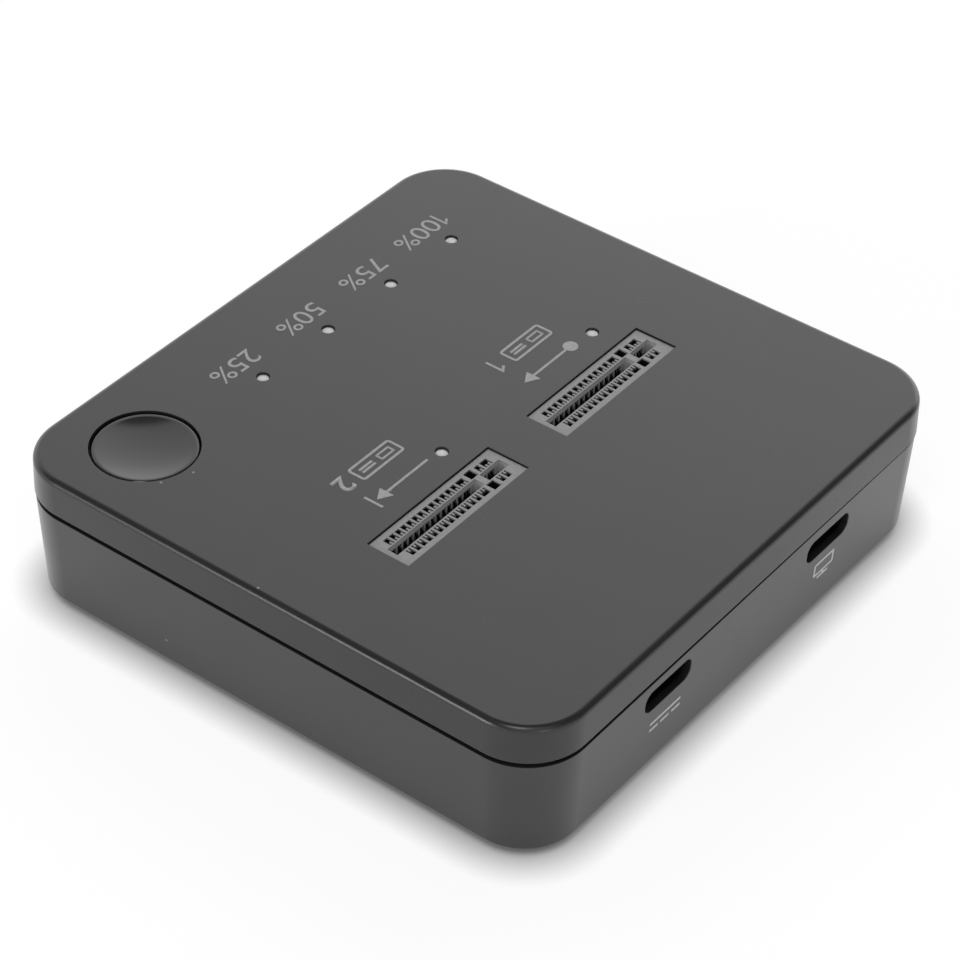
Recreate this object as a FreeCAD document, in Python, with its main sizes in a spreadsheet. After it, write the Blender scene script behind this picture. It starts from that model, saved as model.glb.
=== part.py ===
import FreeCAD, Part

import math
import os
import re

import Sketcher

# Stand-alone drive duplicator: a square plastic case with two upright M.2 sockets in its roof, six
# light guides, a dished start button and two USB-C receptacles in its rear wall.
#
# Frame: millimetres, +Z up. The origin is the middle of the footprint, on the plane that the rubber
# feet stand on. The user sits at -Y, the receptacles look along +Y, and the button is at +X.

# Every size that can be set by itself. Each becomes a named cell of the sheet "Sizes".
SIZES = {
    # case
    "case_length": 80.0,
    "case_width": 77.0,
    "corner_radius": 7.8,
    "shell_height": 14.025,
    "cover_height": 5.175,
    "shell_draft": 2.8,
    "cover_draft": 1.2,
    "roof_edge_radius": 0.85,
    "base_edge_radius": 1.0,
    "wall": 2.0,
    "floor_thickness": 2.0,
    "roof_thickness": 2.0,
    # joint line between cover and shell
    "seam_gap": 0.5,
    "seam_step": 0.1,
    "lip_thickness": 1.0,
    "lip_height": 1.6,
    "lip_clearance": 0.15,
    # snap hooks between cover and shell
    "hook_length": 6.0,
    "hook_thickness": 1.2,
    "hook_drop": 4.2,
    "hook_barb": 0.5,
    "hook_clearance": 0.25,
    "front_hook_spacing": 30.0,
    "rear_hook_inset": 12.0,
    # feet
    "foot_diameter": 8.0,
    "foot_height": 1.6,
    "foot_recess": 1.0,
    "foot_inset": 9.6,
    "foot_clearance": 0.1,
    # screws, the posts that they pass and the bosses that they grip
    "screw_inset_x": 8.0,
    "screw_inset_y": 25.5,
    "screw_diameter": 2.6,
    "screw_head_diameter": 4.6,
    "screw_head_height": 1.7,
    "screw_grip": 6.0,
    "screw_clearance": 0.2,
    "screw_recess_depth": 3.0,
    "post_diameter": 7.0,
    "boss_diameter": 6.0,
    "support_diameter": 5.0,
    # board
    "board_thickness": 1.6,
    "board_clearance": 0.6,
    "board_corner_radius": 3.5,
    # M.2 sockets
    "socket_end_wall": 0.725,
    "socket_side_wall": 0.755,
    "socket_recess": 0.25,
    "socket_clearance": 0.1,
    "socket_spacing": 29.4,
    "socket_middle_x": 0.09,
    "socket_y": 6.5,
    "slot_length": 20.4,
    "slot_width": 1.48,
    "slot_depth": 5.6,
    "key_offset": 6.125,
    "key_width": 0.9,
    "contact_pitch": 0.5,
    "contact_width": 0.22,
    "contact_thickness": 0.15,
    "contact_preload": 0.3,
    "contact_tip_drop": 0.35,
    "window_rib": 0.18,
    "window_width": 1.15,
    "window_wall": 0.25,
    "window_lintel": 0.8,
    "web_width": 0.2,
    "web_reach": 0.45,
    "blank_window_length": 1.25,
    "locating_peg_diameter": 1.1,
    "locating_peg_length": 1.2,
    "locating_peg_spacing": 18.0,
    "peg_clearance": 0.05,
    # USB-C receptacles
    "port_spacing": 32.1,
    "port_middle_x": 0.08,
    "port_drop": 3.125,
    "port_opening_length": 8.7,
    "port_opening_height": 3.0,
    "port_opening_radius": 1.25,
    "port_face_thickness": 0.9,
    "receptacle_length": 8.94,
    "receptacle_height": 3.26,
    "receptacle_depth": 7.35,
    "receptacle_metal": 0.3,
    "receptacle_radius": 1.28,
    "receptacle_clearance": 0.25,
    "leg_length": 0.9,
    "leg_setback": 2.9,
    "leg_spacing": 3.6,
    "leg_reach": 0.4,
    "tongue_length": 6.69,
    "tongue_thickness": 0.7,
    "tongue_setback": 0.6,
    "tongue_root": 1.6,
    "pad_width": 0.25,
    "pad_thickness": 0.05,
    "pad_reach": 3.4,
    # start button
    "button_inset_x": 11.45,
    "button_inset_y": 11.4,
    "button_hole_diameter": 13.0,
    "button_clearance": 0.22,
    "button_recess": 0.12,
    "button_dish": 0.6,
    "button_rim": 0.4,
    "button_skin": 0.8,
    "button_side": 1.1,
    "button_flange": 0.9,
    "button_flange_thickness": 0.7,
    "button_flange_gap": 0.1,
    "button_stem_diameter": 3.2,
    "button_travel": 0.25,
    "collar_thickness": 1.2,
    "collar_drop": 2.6,
    "lug_length": 0.8,
    "lug_width": 1.6,
    "lug_clearance": 0.15,
    # tact switch under the button
    "switch_side": 6.0,
    "switch_height": 3.5,
    "switch_plate": 0.25,
    "switch_well_diameter": 4.6,
    "switch_well_depth": 2.3,
    "plunger_diameter": 3.3,
    "plunger_flange_diameter": 4.1,
    "plunger_flange_thickness": 0.6,
    "plunger_proud": 1.5,
    "plunger_clearance": 0.08,
    "nub_diameter": 1.6,
    "dome_rest": 0.45,
    "dome_thickness": 0.1,
    "terminal_width": 0.7,
    "terminal_thickness": 0.3,
    "terminal_spacing": 4.5,
    "terminal_foot": 1.0,
    # indicator lamps and their light guides
    "lamp_pitch": 12.04,
    "lamp_row_gap": 18.45,
    "lamp_row_inset": 13.45,
    "status_lamp_shift_x": -7.0,
    "status_lamp_shift_y": -6.55,
    "lamp_hole_diameter": 1.65,
    "guide_diameter": 1.5,
    "guide_recess": 0.2,
    "guide_bar_width": 4.0,
    "guide_bar_thickness": 1.4,
    "guide_bar_overhang": 2.6,
    "guide_foot_diameter": 2.2,
    "guide_flange_diameter": 3.6,
    "guide_lamp_gap": 0.3,
    "rivet_diameter": 1.6,
    "rivet_clearance": 0.1,
    "rivet_head_diameter": 2.6,
    "rivet_head_height": 0.5,
    "lamp_length": 1.6,
    "lamp_width": 0.8,
    "lamp_height": 0.75,
    # board components
    "bridge_side": 9.0,
    "bridge_height": 0.85,
    "bridge_drop": 16.0,
    "controller_side": 12.0,
    "controller_height": 1.2,
    "controller_inset": 17.5,
    "memory_length": 6.0,
    "memory_width": 5.0,
    "memory_height": 0.8,
    "memory_inset_x": 15.0,
    "memory_inset_y": 22.5,
    "inductor_side": 6.6,
    "inductor_height": 3.0,
    "inductor_chamfer": 0.6,
    "inductor_inset": 10.5,
    "inductor_spacing": 7.6,
    "bulk_capacitor_diameter": 6.3,
    "bulk_capacitor_height": 5.8,
    "bulk_capacitor_base": 0.8,
    "bulk_capacitor_inset_x": 10.5,
    "bulk_capacitor_inset_y": 11.5,
    "crystal_length": 3.2,
    "crystal_width": 2.5,
    "crystal_height": 0.75,
    "crystal_drop": 7.0,
    "ceramic_length": 1.6,
    "ceramic_width": 0.8,
    "ceramic_height": 0.8,
    "ceramic_pitch": 2.0,
    "ceramic_gap": 1.5,
}

# Places worked out from those sizes, each a formula in the sheet's names.
SHELL_BOTTOM = "(foot_height - foot_recess)"
SEAM = f"({SHELL_BOTTOM} + shell_height)"
TOP = f"({SEAM} + cover_height)"
ROOF = f"({TOP} - roof_thickness)"
FLOOR = f"({SHELL_BOTTOM} + floor_thickness)"
RIM = f"({SEAM} - seam_gap / 2)"
SKIRT = f"({SEAM} + seam_gap / 2)"
PORT_Z = f"({SEAM} - port_drop)"
BOARD_TOP = f"({PORT_Z} - receptacle_height / 2)"
BOARD_BOTTOM = f"({BOARD_TOP} - board_thickness)"
SHELL_LENGTH = "(case_length - 2 * seam_step)"
SHELL_WIDTH = "(case_width - 2 * seam_step)"
SHELL_RADIUS = "(corner_radius - seam_step)"
SCREW_HEAD = f"({SHELL_BOTTOM} + screw_recess_depth)"
SCREW_TIP = f"({BOARD_TOP} + screw_grip)"
# outer face of the shell's rear wall at the height of the receptacles, and their mouths behind it
REAR_FACE = f"({SHELL_WIDTH} / 2 - tan(shell_draft) * ({RIM} - {PORT_Z}))"
PORT_MOUTH = f"({REAR_FACE} - port_face_thickness)"
SOCKET_HEIGHT = f"({TOP} - socket_recess - {BOARD_TOP})"
WINDOW_START = "(slot_width / 2 + window_rib)"
PAIR_LENGTH = "(2 * contact_pitch - window_wall)"
SOCKET_LENGTH = "(slot_length + 2 * socket_end_wall)"
SOCKET_WIDTH = "(slot_width + 2 * (window_rib + window_width + socket_side_wall))"
BUTTON_X = "(case_length / 2 - button_inset_x)"
BUTTON_Y = "(button_inset_y - case_width / 2)"
BUTTON_RADIUS = "(button_hole_diameter / 2 - button_clearance)"
BUTTON_TOP = f"({TOP} - button_recess)"
FLANGE_TOP = f"({ROOF} - button_flange_gap)"
FLANGE_BOTTOM = f"({FLANGE_TOP} - button_flange_thickness)"
FLANGE_RADIUS = f"({BUTTON_RADIUS} + button_flange)"
COLLAR_RADIUS = f"({FLANGE_RADIUS} + button_clearance)"
SWITCH_TOP = f"({BOARD_TOP} + switch_height)"
PLUNGER_TOP = f"({SWITCH_TOP} + plunger_proud)"
GUIDE_TOP = f"({TOP} - guide_recess)"
BAR_LOW = f"({ROOF} - guide_bar_thickness)"
GUIDE_FOOT = f"({BOARD_TOP} + lamp_height + guide_lamp_gap)"
DOME_RISE = "(button_travel + dome_rest)"
LAMP_ROW_X = f"({BUTTON_X} - lamp_row_gap)"
LAMP_ROW_Y = "(lamp_row_inset - case_width / 2)"
LAMP_COUNT = 4

doc = FreeCAD.newDocument("DriveDuplicator")
sheet = doc.addObject("Spreadsheet::Sheet", "Sizes")
for row, (name, value) in enumerate(SIZES.items(), start=1):
    sheet.set(f"A{row}", name)
    sheet.set(f"B{row}", str(value))
    sheet.setAlias(f"B{row}", name)
doc.recompute()

pieces = []


def spell(formula):
    """Write a formula's size names as references to the sheet."""
    return re.sub(r"[a-z][a-z_]*", lambda word: f"Sizes.{word[0]}" if word[0] in SIZES else word[0], formula)


def number(formula):
    """The present value of a formula."""
    return float(sheet.evalExpression(spell(formula)))


def bind(item, **formulas):
    """Tie an object's properties to formulas."""
    for name, formula in formulas.items():
        item.setExpression(name, spell(formula))


def place(item, x="0", y="0", z="0"):
    """Tie an object's position to formulas."""
    for axis, formula in zip("xyz", (x, y, z)):
        item.setExpression(f"Placement.Base.{axis}", spell(formula))


def keep(item, label):
    """Name a finished sub-part and put it on the list of files to write."""
    item.Label = label
    pieces.append(item)
    return item


# --- sketches ---------------------------------------------------------------------------------

# The origin plane that a sketch across each axis lies on, and whether its normal runs up the axis.
PLANES = {"X": ("YZ_Plane", True), "Y": ("XZ_Plane", False), "Z": ("XY_Plane", True)}


def origin_feature(body, role):
    """One of the planes or axes of a body's own origin."""
    return [feature for feature in body.Origin.OriginFeatures if feature.Role == role][0]


def constrain(sketch, kind, arguments, formula):
    """Add a dimension to a sketch and tie it to a formula."""
    index = sketch.addConstraint(Sketcher.Constraint(kind, *arguments, number(formula)))
    sketch.setExpression(f"Constraints[{index}]", spell(formula))


def pin_point(sketch, geometry, end, x, y):
    """Fix one point of a sketch at formulas measured from the sketch's origin."""
    constrain(sketch, "DistanceX", (-1, 1, geometry, end), x)
    constrain(sketch, "DistanceY", (-1, 1, geometry, end), y)


def circle(x, y, radius):
    """A drawing of one circle."""

    def draw(sketch):
        centre = FreeCAD.Vector(number(x), number(y), 0)
        ring = sketch.addGeometry(Part.Circle(centre, FreeCAD.Vector(0, 0, 1), number(radius)), False)
        pin_point(sketch, ring, 3, x, y)
        constrain(sketch, "Radius", (ring,), radius)

    return draw


def polygon(points):
    """A drawing of one closed outline through corner points."""

    def draw(sketch):
        corners = [FreeCAD.Vector(number(x), number(y), 0) for x, y in points]
        count = len(corners)
        lines = [
            sketch.addGeometry(Part.LineSegment(corners[i], corners[(i + 1) % count]), False)
            for i in range(count)
        ]
        for i, line in enumerate(lines):
            sketch.addConstraint(Sketcher.Constraint("Coincident", line, 2, lines[(i + 1) % count], 1))
            pin_point(sketch, line, 1, *points[i])

    return draw


def rectangle(left, right, bottom, top):
    """A drawing of one sharp rectangle."""
    return polygon([(left, bottom), (right, bottom), (right, top), (left, top)])


def rounded_rectangle(length, width, radius, x="0", y="0"):
    """A drawing of one rectangle about a centre, with four tangent corner arcs."""

    def draw(sketch):
        reach = number(radius)
        arcs = []
        ends = []
        centres = []
        for turn, (side_x, side_y) in enumerate(((1, 1), (-1, 1), (-1, -1), (1, -1))):
            formula_x = f"{x} + {side_x} * ({length} / 2 - {radius})"
            formula_y = f"{y} + {side_y} * ({width} / 2 - {radius})"
            centre = FreeCAD.Vector(number(formula_x), number(formula_y), 0)
            start = math.radians(90 * turn)
            end = math.radians(90 * turn + 90)
            ring = Part.Circle(centre, FreeCAD.Vector(0, 0, 1), reach)
            arcs.append(sketch.addGeometry(Part.ArcOfCircle(ring, start, end), False))
            ends.append([
                centre + FreeCAD.Vector(reach * math.cos(angle), reach * math.sin(angle), 0)
                for angle in (start, end)
            ])
            centres.append((formula_x, formula_y))
        for i in range(4):
            after = (i + 1) % 4
            line = sketch.addGeometry(Part.LineSegment(ends[i][1], ends[after][0]), False)
            sketch.addConstraint(Sketcher.Constraint("Tangent", arcs[i], 2, line, 1))
            sketch.addConstraint(Sketcher.Constraint("Tangent", line, 2, arcs[after], 1))
        for arc in arcs[1:]:
            sketch.addConstraint(Sketcher.Constraint("Equal", arcs[0], arc))
        constrain(sketch, "Radius", (arcs[0],), radius)
        for arc, (formula_x, formula_y) in zip(arcs, centres):
            pin_point(sketch, arc, 3, formula_x, formula_y)

    return draw


def together(*drawings):
    """A drawing made of several drawings."""

    def draw(sketch):
        for drawing in drawings:
            drawing(sketch)

    return draw


def sketch_across(body, axis, level, drawing):
    """Make a sketch in a body, square to an axis at a level along it."""
    role, along = PLANES[axis]
    sketch = body.newObject("Sketcher::SketchObject", f"{body.Name}_sketch")
    sketch.AttachmentSupport = [(origin_feature(body, role), "")]
    sketch.MapMode = "FlatFace"
    sketch.setExpression("AttachmentOffset.Base.z", spell(level if along else f"-({level})"))
    drawing(sketch)
    return sketch


# --- part design features ---------------------------------------------------------------------

def new_body(label):
    """Start a part design body that becomes one sub-part."""
    body = doc.addObject("PartDesign::Body", label)
    body.AllowCompound = True
    return keep(body, label)


def settle(body, feature, grows, before):
    """Recompute a body after a feature and make sure that the feature did its work."""
    body.Tip = feature
    doc.recompute()
    change = body.Shape.Volume - before
    if (change <= 1e-6) if grows else (change >= -1e-6):
        raise RuntimeError(f"{body.Label}: {feature.Name} changed the volume by {change:.6f}")
    return feature


def add(body, axis, low, high, drawing, taper=None, from_high=False):
    """Pad a drawing between two levels; a taper is measured from the level that is drawn on."""
    before = body.Shape.Volume if body.Tip else 0.0
    along = PLANES[axis][1]
    sketch = sketch_across(body, axis, high if from_high else low, drawing)
    pad = body.newObject("PartDesign::Pad", f"{body.Name}_pad")
    pad.Profile = sketch
    pad.Reversed = from_high == along
    bind(pad, Length=f"({high}) - ({low})")
    if taper:
        bind(pad, TaperAngle=taper)
    return settle(body, pad, True, before)


def remove(body, axis, low, high, drawing, taper=None):
    """Cut a drawing out between two levels, drawn at the higher one."""
    before = body.Shape.Volume
    along = PLANES[axis][1]
    sketch = sketch_across(body, axis, high, drawing)
    pocket = body.newObject("PartDesign::Pocket", f"{body.Name}_pocket")
    pocket.Profile = sketch
    pocket.Reversed = not along
    bind(pocket, Length=f"({high}) - ({low})")
    if taper:
        bind(pocket, TaperAngle=taper)
    return settle(body, pocket, False, before)


def turn(body, profile):
    """Revolve a profile of (radius, height) points about the body's own Z axis."""
    before = body.Shape.Volume if body.Tip else 0.0
    sketch = sketch_across(body, "Y", "0", profile)
    revolution = body.newObject("PartDesign::Revolution", f"{body.Name}_turn")
    revolution.Profile = sketch
    revolution.ReferenceAxis = (origin_feature(body, "Z_Axis"), [""])
    revolution.Angle = 360
    return settle(body, revolution, True, before)


def repeat(body, feature, step, count, grows=True, axis="X"):
    """Repeat a feature in a row; a negative step runs down the axis."""
    before = body.Shape.Volume
    pattern = body.newObject("PartDesign::LinearPattern", f"{body.Name}_row")
    pattern.Originals = [feature]
    pattern.Direction = (origin_feature(body, f"{axis}_Axis"), [""])
    pattern.Reversed = number(step) < 0
    pattern.Mode = "Spacing"
    pattern.Occurrences = count
    bind(pattern, Offset=f"abs({step})")
    return settle(body, pattern, grows, before)


def level_edges(shape, height):
    """Names of the edges that lie wholly at one height."""
    return [
        f"Edge{i}"
        for i, edge in enumerate(shape.Edges, start=1)
        if abs(edge.BoundBox.ZMin - height) < 1e-4 and abs(edge.BoundBox.ZMax - height) < 1e-4
    ]


def round_edges(body, height, radius):
    """Fillet every edge of a body that lies at one height."""
    fillet = body.newObject("PartDesign::Fillet", f"{body.Name}_fillet")
    base = fillet.BaseFeature or body.Tip
    fillet.Base = (base, level_edges(base.Shape, number(height)))
    bind(fillet, Radius=radius)
    return settle(body, fillet, False, base.Shape.Volume)


# --- plain solids -----------------------------------------------------------------------------

def block(name, x, y, low, length, width, height):
    """A box centred on (x, y), standing on a level."""
    box = doc.addObject("Part::Box", name)
    bind(box, Length=length, Width=width, Height=height)
    place(box, f"{x} - ({length}) / 2", f"{y} - ({width}) / 2", low)
    return box


def rod(name, x, y, low, high, diameter):
    """An upright cylinder between two levels."""
    cylinder = doc.addObject("Part::Cylinder", name)
    bind(cylinder, Radius=f"({diameter}) / 2", Height=f"({high}) - ({low})")
    place(cylinder, x, y, low)
    return cylinder


def fused(name, solids):
    """One solid out of several."""
    union = doc.addObject("Part::MultiFuse", name)
    union.Shapes = solids
    return union


def cut(name, base, tool):
    """A solid with another taken away."""
    result = doc.addObject("Part::Cut", name)
    result.Base = base
    result.Tool = tool
    return result


def group(name, solids):
    """Separate solids that share one sub-part."""
    compound = doc.addObject("Part::Compound", name)
    compound.Links = solids
    return compound


# --- places that several sub-parts share ------------------------------------------------------

SOCKETS = {
    "source": "(socket_middle_x - socket_spacing / 2)",
    "target": "(socket_middle_x + socket_spacing / 2)",
}
PORTS = {
    "data": "(port_middle_x - port_spacing / 2)",
    "power": "(port_middle_x + port_spacing / 2)",
}
STATUS_LAMPS = {
    bay: (f"({x} + status_lamp_shift_x)", "(socket_y + status_lamp_shift_y)") for bay, x in SOCKETS.items()
}
BRIDGE_Y = "(socket_y - bridge_drop)"
SCREW_LEFT = "(screw_inset_x - case_length / 2)"
SCREW_REAR = "(case_width / 2 - screw_inset_y)"
LAMP_ROW_MIDDLE = f"({LAMP_ROW_X} - lamp_pitch * {LAMP_COUNT - 1} / 2)"
RIVET_REACH = f"(lamp_pitch * {LAMP_COUNT - 2} / 2)"
# spacing of each wall's two hooks, and which side of the case the wall is on
HOOK_SIDES = (("front_hook_spacing", -1), ("(case_length - 2 * rear_hook_inset)", 1))


def screw_pair(radius):
    """A drawing of the front and rear circles on the left screws' line."""
    return together(*[circle(SCREW_LEFT, f"({side} * {SCREW_REAR})", radius) for side in (-1, 1)])


def at_screws(body, feature, low, high, radius):
    """Add or remove a cylinder at each of the case's four screws."""
    first = feature(body, "Z", low, high, screw_pair(radius))
    return repeat(body, first, "(case_length - 2 * screw_inset_x)", 2, grows=feature is add)


# --- case -------------------------------------------------------------------------------------

def make_top_cover():
    """The roof and skirt, with cut-outs, the button's collar, screw bosses, rivets and snap hooks."""
    cover = new_body("top_cover")
    outline = rounded_rectangle("case_length", "case_width", "corner_radius")
    add(cover, "Z", SKIRT, TOP, outline, taper="-cover_draft")
    round_edges(cover, TOP, "roof_edge_radius")
    inside = rounded_rectangle(
        "(case_length - 2 * wall)", "(case_width - 2 * wall)", "(corner_radius - wall)"
    )
    remove(cover, "Z", SKIRT, ROOF, inside)
    # the rebate that the shell's lip stands in
    lip_side = "2 * (seam_step + wall - lip_thickness - lip_clearance)"
    rebate = rounded_rectangle(
        f"(case_length - {lip_side})", f"(case_width - {lip_side})", f"(corner_radius - {lip_side} / 2)"
    )
    remove(cover, "Z", SKIRT, f"{RIM} + lip_height + lip_clearance", rebate)

    # openings in the roof
    opening = rectangle(
        f"{SOCKETS['source']} - {SOCKET_LENGTH} / 2 - socket_clearance",
        f"{SOCKETS['source']} + {SOCKET_LENGTH} / 2 + socket_clearance",
        f"socket_y - {SOCKET_WIDTH} / 2 - socket_clearance",
        f"socket_y + {SOCKET_WIDTH} / 2 + socket_clearance",
    )
    openings = remove(cover, "Z", ROOF, TOP, opening)
    repeat(cover, openings, "socket_spacing", 2, grows=False)
    lamp = remove(cover, "Z", ROOF, TOP, circle(LAMP_ROW_X, LAMP_ROW_Y, "lamp_hole_diameter / 2"))
    repeat(cover, lamp, "-lamp_pitch", LAMP_COUNT, grows=False)
    status = together(*[circle(x, y, "lamp_hole_diameter / 2") for x, y in STATUS_LAMPS.values()])
    remove(cover, "Z", ROOF, TOP, status)
    remove(cover, "Z", ROOF, TOP, circle(BUTTON_X, BUTTON_Y, "button_hole_diameter / 2"))

    # the collar that guides the button's flange, with two grooves for its lugs
    collar = together(
        circle(BUTTON_X, BUTTON_Y, f"{COLLAR_RADIUS} + collar_thickness"),
        circle(BUTTON_X, BUTTON_Y, COLLAR_RADIUS),
    )
    add(cover, "Z", f"{ROOF} - collar_drop", ROOF, collar)
    groove = rectangle(
        f"{BUTTON_X} - {COLLAR_RADIUS} - lug_length",
        f"{BUTTON_X} + {COLLAR_RADIUS} + lug_length",
        f"{BUTTON_Y} - lug_width / 2 - lug_clearance",
        f"{BUTTON_Y} + lug_width / 2 + lug_clearance",
    )
    remove(cover, "Z", f"{ROOF} - collar_drop", ROOF, groove)

    # bosses that stand on the board and take the screws
    at_screws(cover, add, BOARD_TOP, ROOF, "boss_diameter / 2")
    at_screws(cover, remove, BOARD_TOP, f"{SCREW_TIP} + screw_clearance", "screw_diameter / 2")

    # rivets that the progress light guide hangs on
    rivets = together(*[
        circle(f"{LAMP_ROW_MIDDLE} + {side} * {RIVET_REACH}", LAMP_ROW_Y, "rivet_diameter / 2")
        for side in (-1, 1)
    ])
    add(cover, "Z", BAR_LOW, ROOF, rivets)
    heads = together(*[
        circle(f"{LAMP_ROW_MIDDLE} + {side} * {RIVET_REACH}", LAMP_ROW_Y, "rivet_head_diameter / 2")
        for side in (-1, 1)
    ])
    add(cover, "Z", f"{BAR_LOW} - rivet_head_height", BAR_LOW, heads)

    # rings that seat the flanges of the two status light guides
    for x, y in STATUS_LAMPS.values():
        ring = together(
            circle(x, y, "guide_flange_diameter / 2 + rivet_clearance + lip_thickness"),
            circle(x, y, "guide_flange_diameter / 2 + rivet_clearance"),
        )
        add(cover, "Z", BAR_LOW, ROOF, ring)

    # snap hooks: a tongue from the roof's underside with a barb that points outwards
    face = "(case_width / 2 - seam_step - wall - hook_clearance)"
    tip = f"({RIM} - hook_drop)"
    for spacing, side in HOOK_SIDES:
        profile = polygon([
            (f"{side} * ({face} - hook_thickness)", ROOF),
            (f"{side} * {face}", ROOF),
            (f"{side} * {face}", f"{tip} + 3 * hook_barb"),
            (f"{side} * ({face} + hook_barb)", f"{tip} + 2 * hook_barb"),
            (f"{side} * ({face} + hook_barb)", f"{tip} + 1.5 * hook_barb"),
            (f"{side} * {face}", tip),
            (f"{side} * ({face} - hook_thickness)", tip),
        ])
        hook = add(
            cover, "X", f"-{spacing} / 2 - hook_length / 2", f"-{spacing} / 2 + hook_length / 2", profile
        )
        repeat(cover, hook, spacing, 2)
    return cover


def make_bottom_shell():
    """The drafted tub with its lip, port cut-outs, screw posts, supports, foot recesses and catches."""
    shell = new_body("bottom_shell")
    add(
        shell, "Z", SHELL_BOTTOM, RIM, rounded_rectangle(SHELL_LENGTH, SHELL_WIDTH, SHELL_RADIUS),
        taper="-shell_draft", from_high=True,
    )
    round_edges(shell, SHELL_BOTTOM, "base_edge_radius")
    inside = rounded_rectangle(
        f"({SHELL_LENGTH} - 2 * wall)", f"({SHELL_WIDTH} - 2 * wall)", f"({SHELL_RADIUS} - wall)"
    )
    # the lip stands on the inner edge of the rim, so it is padded solid before the tub is hollowed
    lip_outline = rounded_rectangle(
        f"({SHELL_LENGTH} - 2 * wall + 2 * lip_thickness)",
        f"({SHELL_WIDTH} - 2 * wall + 2 * lip_thickness)",
        f"({SHELL_RADIUS} - wall + lip_thickness)",
    )
    add(shell, "Z", RIM, f"{RIM} + lip_height", lip_outline)
    remove(shell, "Z", RIM, f"{RIM} + lip_height", inside)
    remove(shell, "Z", FLOOR, RIM, inside, taper="-shell_draft")

    # mouths for the receptacles: a thin face outside, a roomier pocket for the metal shell inside
    for x in PORTS.values():
        pocket_radius = "(receptacle_radius + receptacle_clearance)"
        pocket = rounded_rectangle(
            "(receptacle_length + 2 * receptacle_clearance)",
            "(receptacle_height + 2 * receptacle_clearance)",
            pocket_radius, x, PORT_Z,
        )
        remove(shell, "Y", f"{REAR_FACE} - wall - 1", PORT_MOUTH, pocket)
        mouth = rounded_rectangle(
            "port_opening_length", "port_opening_height", "port_opening_radius", x, PORT_Z
        )
        remove(shell, "Y", PORT_MOUTH, f"{REAR_FACE} + 1", mouth)

    # posts under the board's screws and plain supports under what the user pushes on
    at_screws(shell, add, FLOOR, BOARD_BOTTOM, "post_diameter / 2")
    at_screws(shell, remove, SHELL_BOTTOM, BOARD_BOTTOM, "screw_diameter / 2 + screw_clearance")
    at_screws(shell, remove, SHELL_BOTTOM, SCREW_HEAD, "screw_head_diameter / 2 + screw_clearance")
    places = [(x, "socket_y") for x in SOCKETS.values()]
    places += [(x, f"({PORT_MOUTH} - receptacle_depth + leg_length)") for x in PORTS.values()]
    places += [(BUTTON_X, BUTTON_Y), (f"-{BUTTON_X}", BUTTON_Y)]
    supports = [circle(x, y, "support_diameter / 2") for x, y in places]
    add(shell, "Z", FLOOR, BOARD_BOTTOM, together(*supports))

    # shallow recesses for the feet
    left_feet = together(*[
        circle(
            "-(case_length / 2 - foot_inset)", f"{side} * (case_width / 2 - foot_inset)",
            "foot_diameter / 2 + foot_clearance",
        )
        for side in (-1, 1)
    ])
    foot_recesses = remove(shell, "Z", SHELL_BOTTOM, f"{SHELL_BOTTOM} + foot_recess", left_feet)
    repeat(shell, foot_recesses, "case_length - 2 * foot_inset", 2, grows=False)

    # catches: shallow windows inside the front and rear walls for the cover's barbs
    tip = f"({RIM} - hook_drop)"
    face = "(case_width / 2 - seam_step - wall)"
    for spacing, side in HOOK_SIDES:
        window = polygon([
            (f"{side} * ({face} - 1)", f"{tip} + 3 * hook_barb + hook_clearance"),
            (f"{side} * ({face} + hook_barb)", f"{tip} + 3 * hook_barb + hook_clearance"),
            (f"{side} * ({face} + hook_barb)", f"{tip} - hook_clearance"),
            (f"{side} * ({face} - 1)", f"{tip} - hook_clearance"),
        ])
        half = "(hook_length / 2 + hook_clearance)"
        catch = remove(shell, "X", f"-{spacing} / 2 - {half}", f"-{spacing} / 2 + {half}", window)
        repeat(shell, catch, spacing, 2, grows=False)
    return shell


def make_feet():
    """Four rubber pads, each with a rolled lower edge."""
    for end, side_y in (("front", -1), ("rear", 1)):
        for hand, side_x in (("left", -1), ("right", 1)):
            foot = new_body(f"foot_{end}_{hand}")
            add(foot, "Z", "0", "foot_height", circle("0", "0", "foot_diameter / 2"))
            round_edges(foot, "0", "(foot_height - foot_recess) / 2")
            place(
                foot,
                f"{side_x} * (case_length / 2 - foot_inset)",
                f"{side_y} * (case_width / 2 - foot_inset)",
            )


def make_case_screws():
    """Four pan-head screws from below, through the posts and the board into the cover's bosses."""
    screws = new_body("case_screws")
    low = f"({SCREW_HEAD} - screw_head_height)"
    at_screws(screws, add, low, SCREW_HEAD, "screw_head_diameter / 2")
    round_edges(screws, low, "screw_head_height / 3")
    at_screws(screws, add, SCREW_HEAD, SCREW_TIP, "screw_diameter / 2")


# --- board ------------------------------------------------------------------------------------

BOARD_SHRINK = f"(seam_step + wall + tan(shell_draft) * ({RIM} - {BOARD_BOTTOM}) + board_clearance)"
LEG_REACH_X = "(receptacle_length / 2 - receptacle_metal / 2)"


def leg_places(x):
    """Centres of the four legs of a receptacle, seen from above."""
    return [
        (f"({x} + {side} * {LEG_REACH_X})", f"({PORT_MOUTH} - leg_setback - {row} * leg_spacing)")
        for side in (-1, 1)
        for row in (0, 1)
    ]


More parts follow.
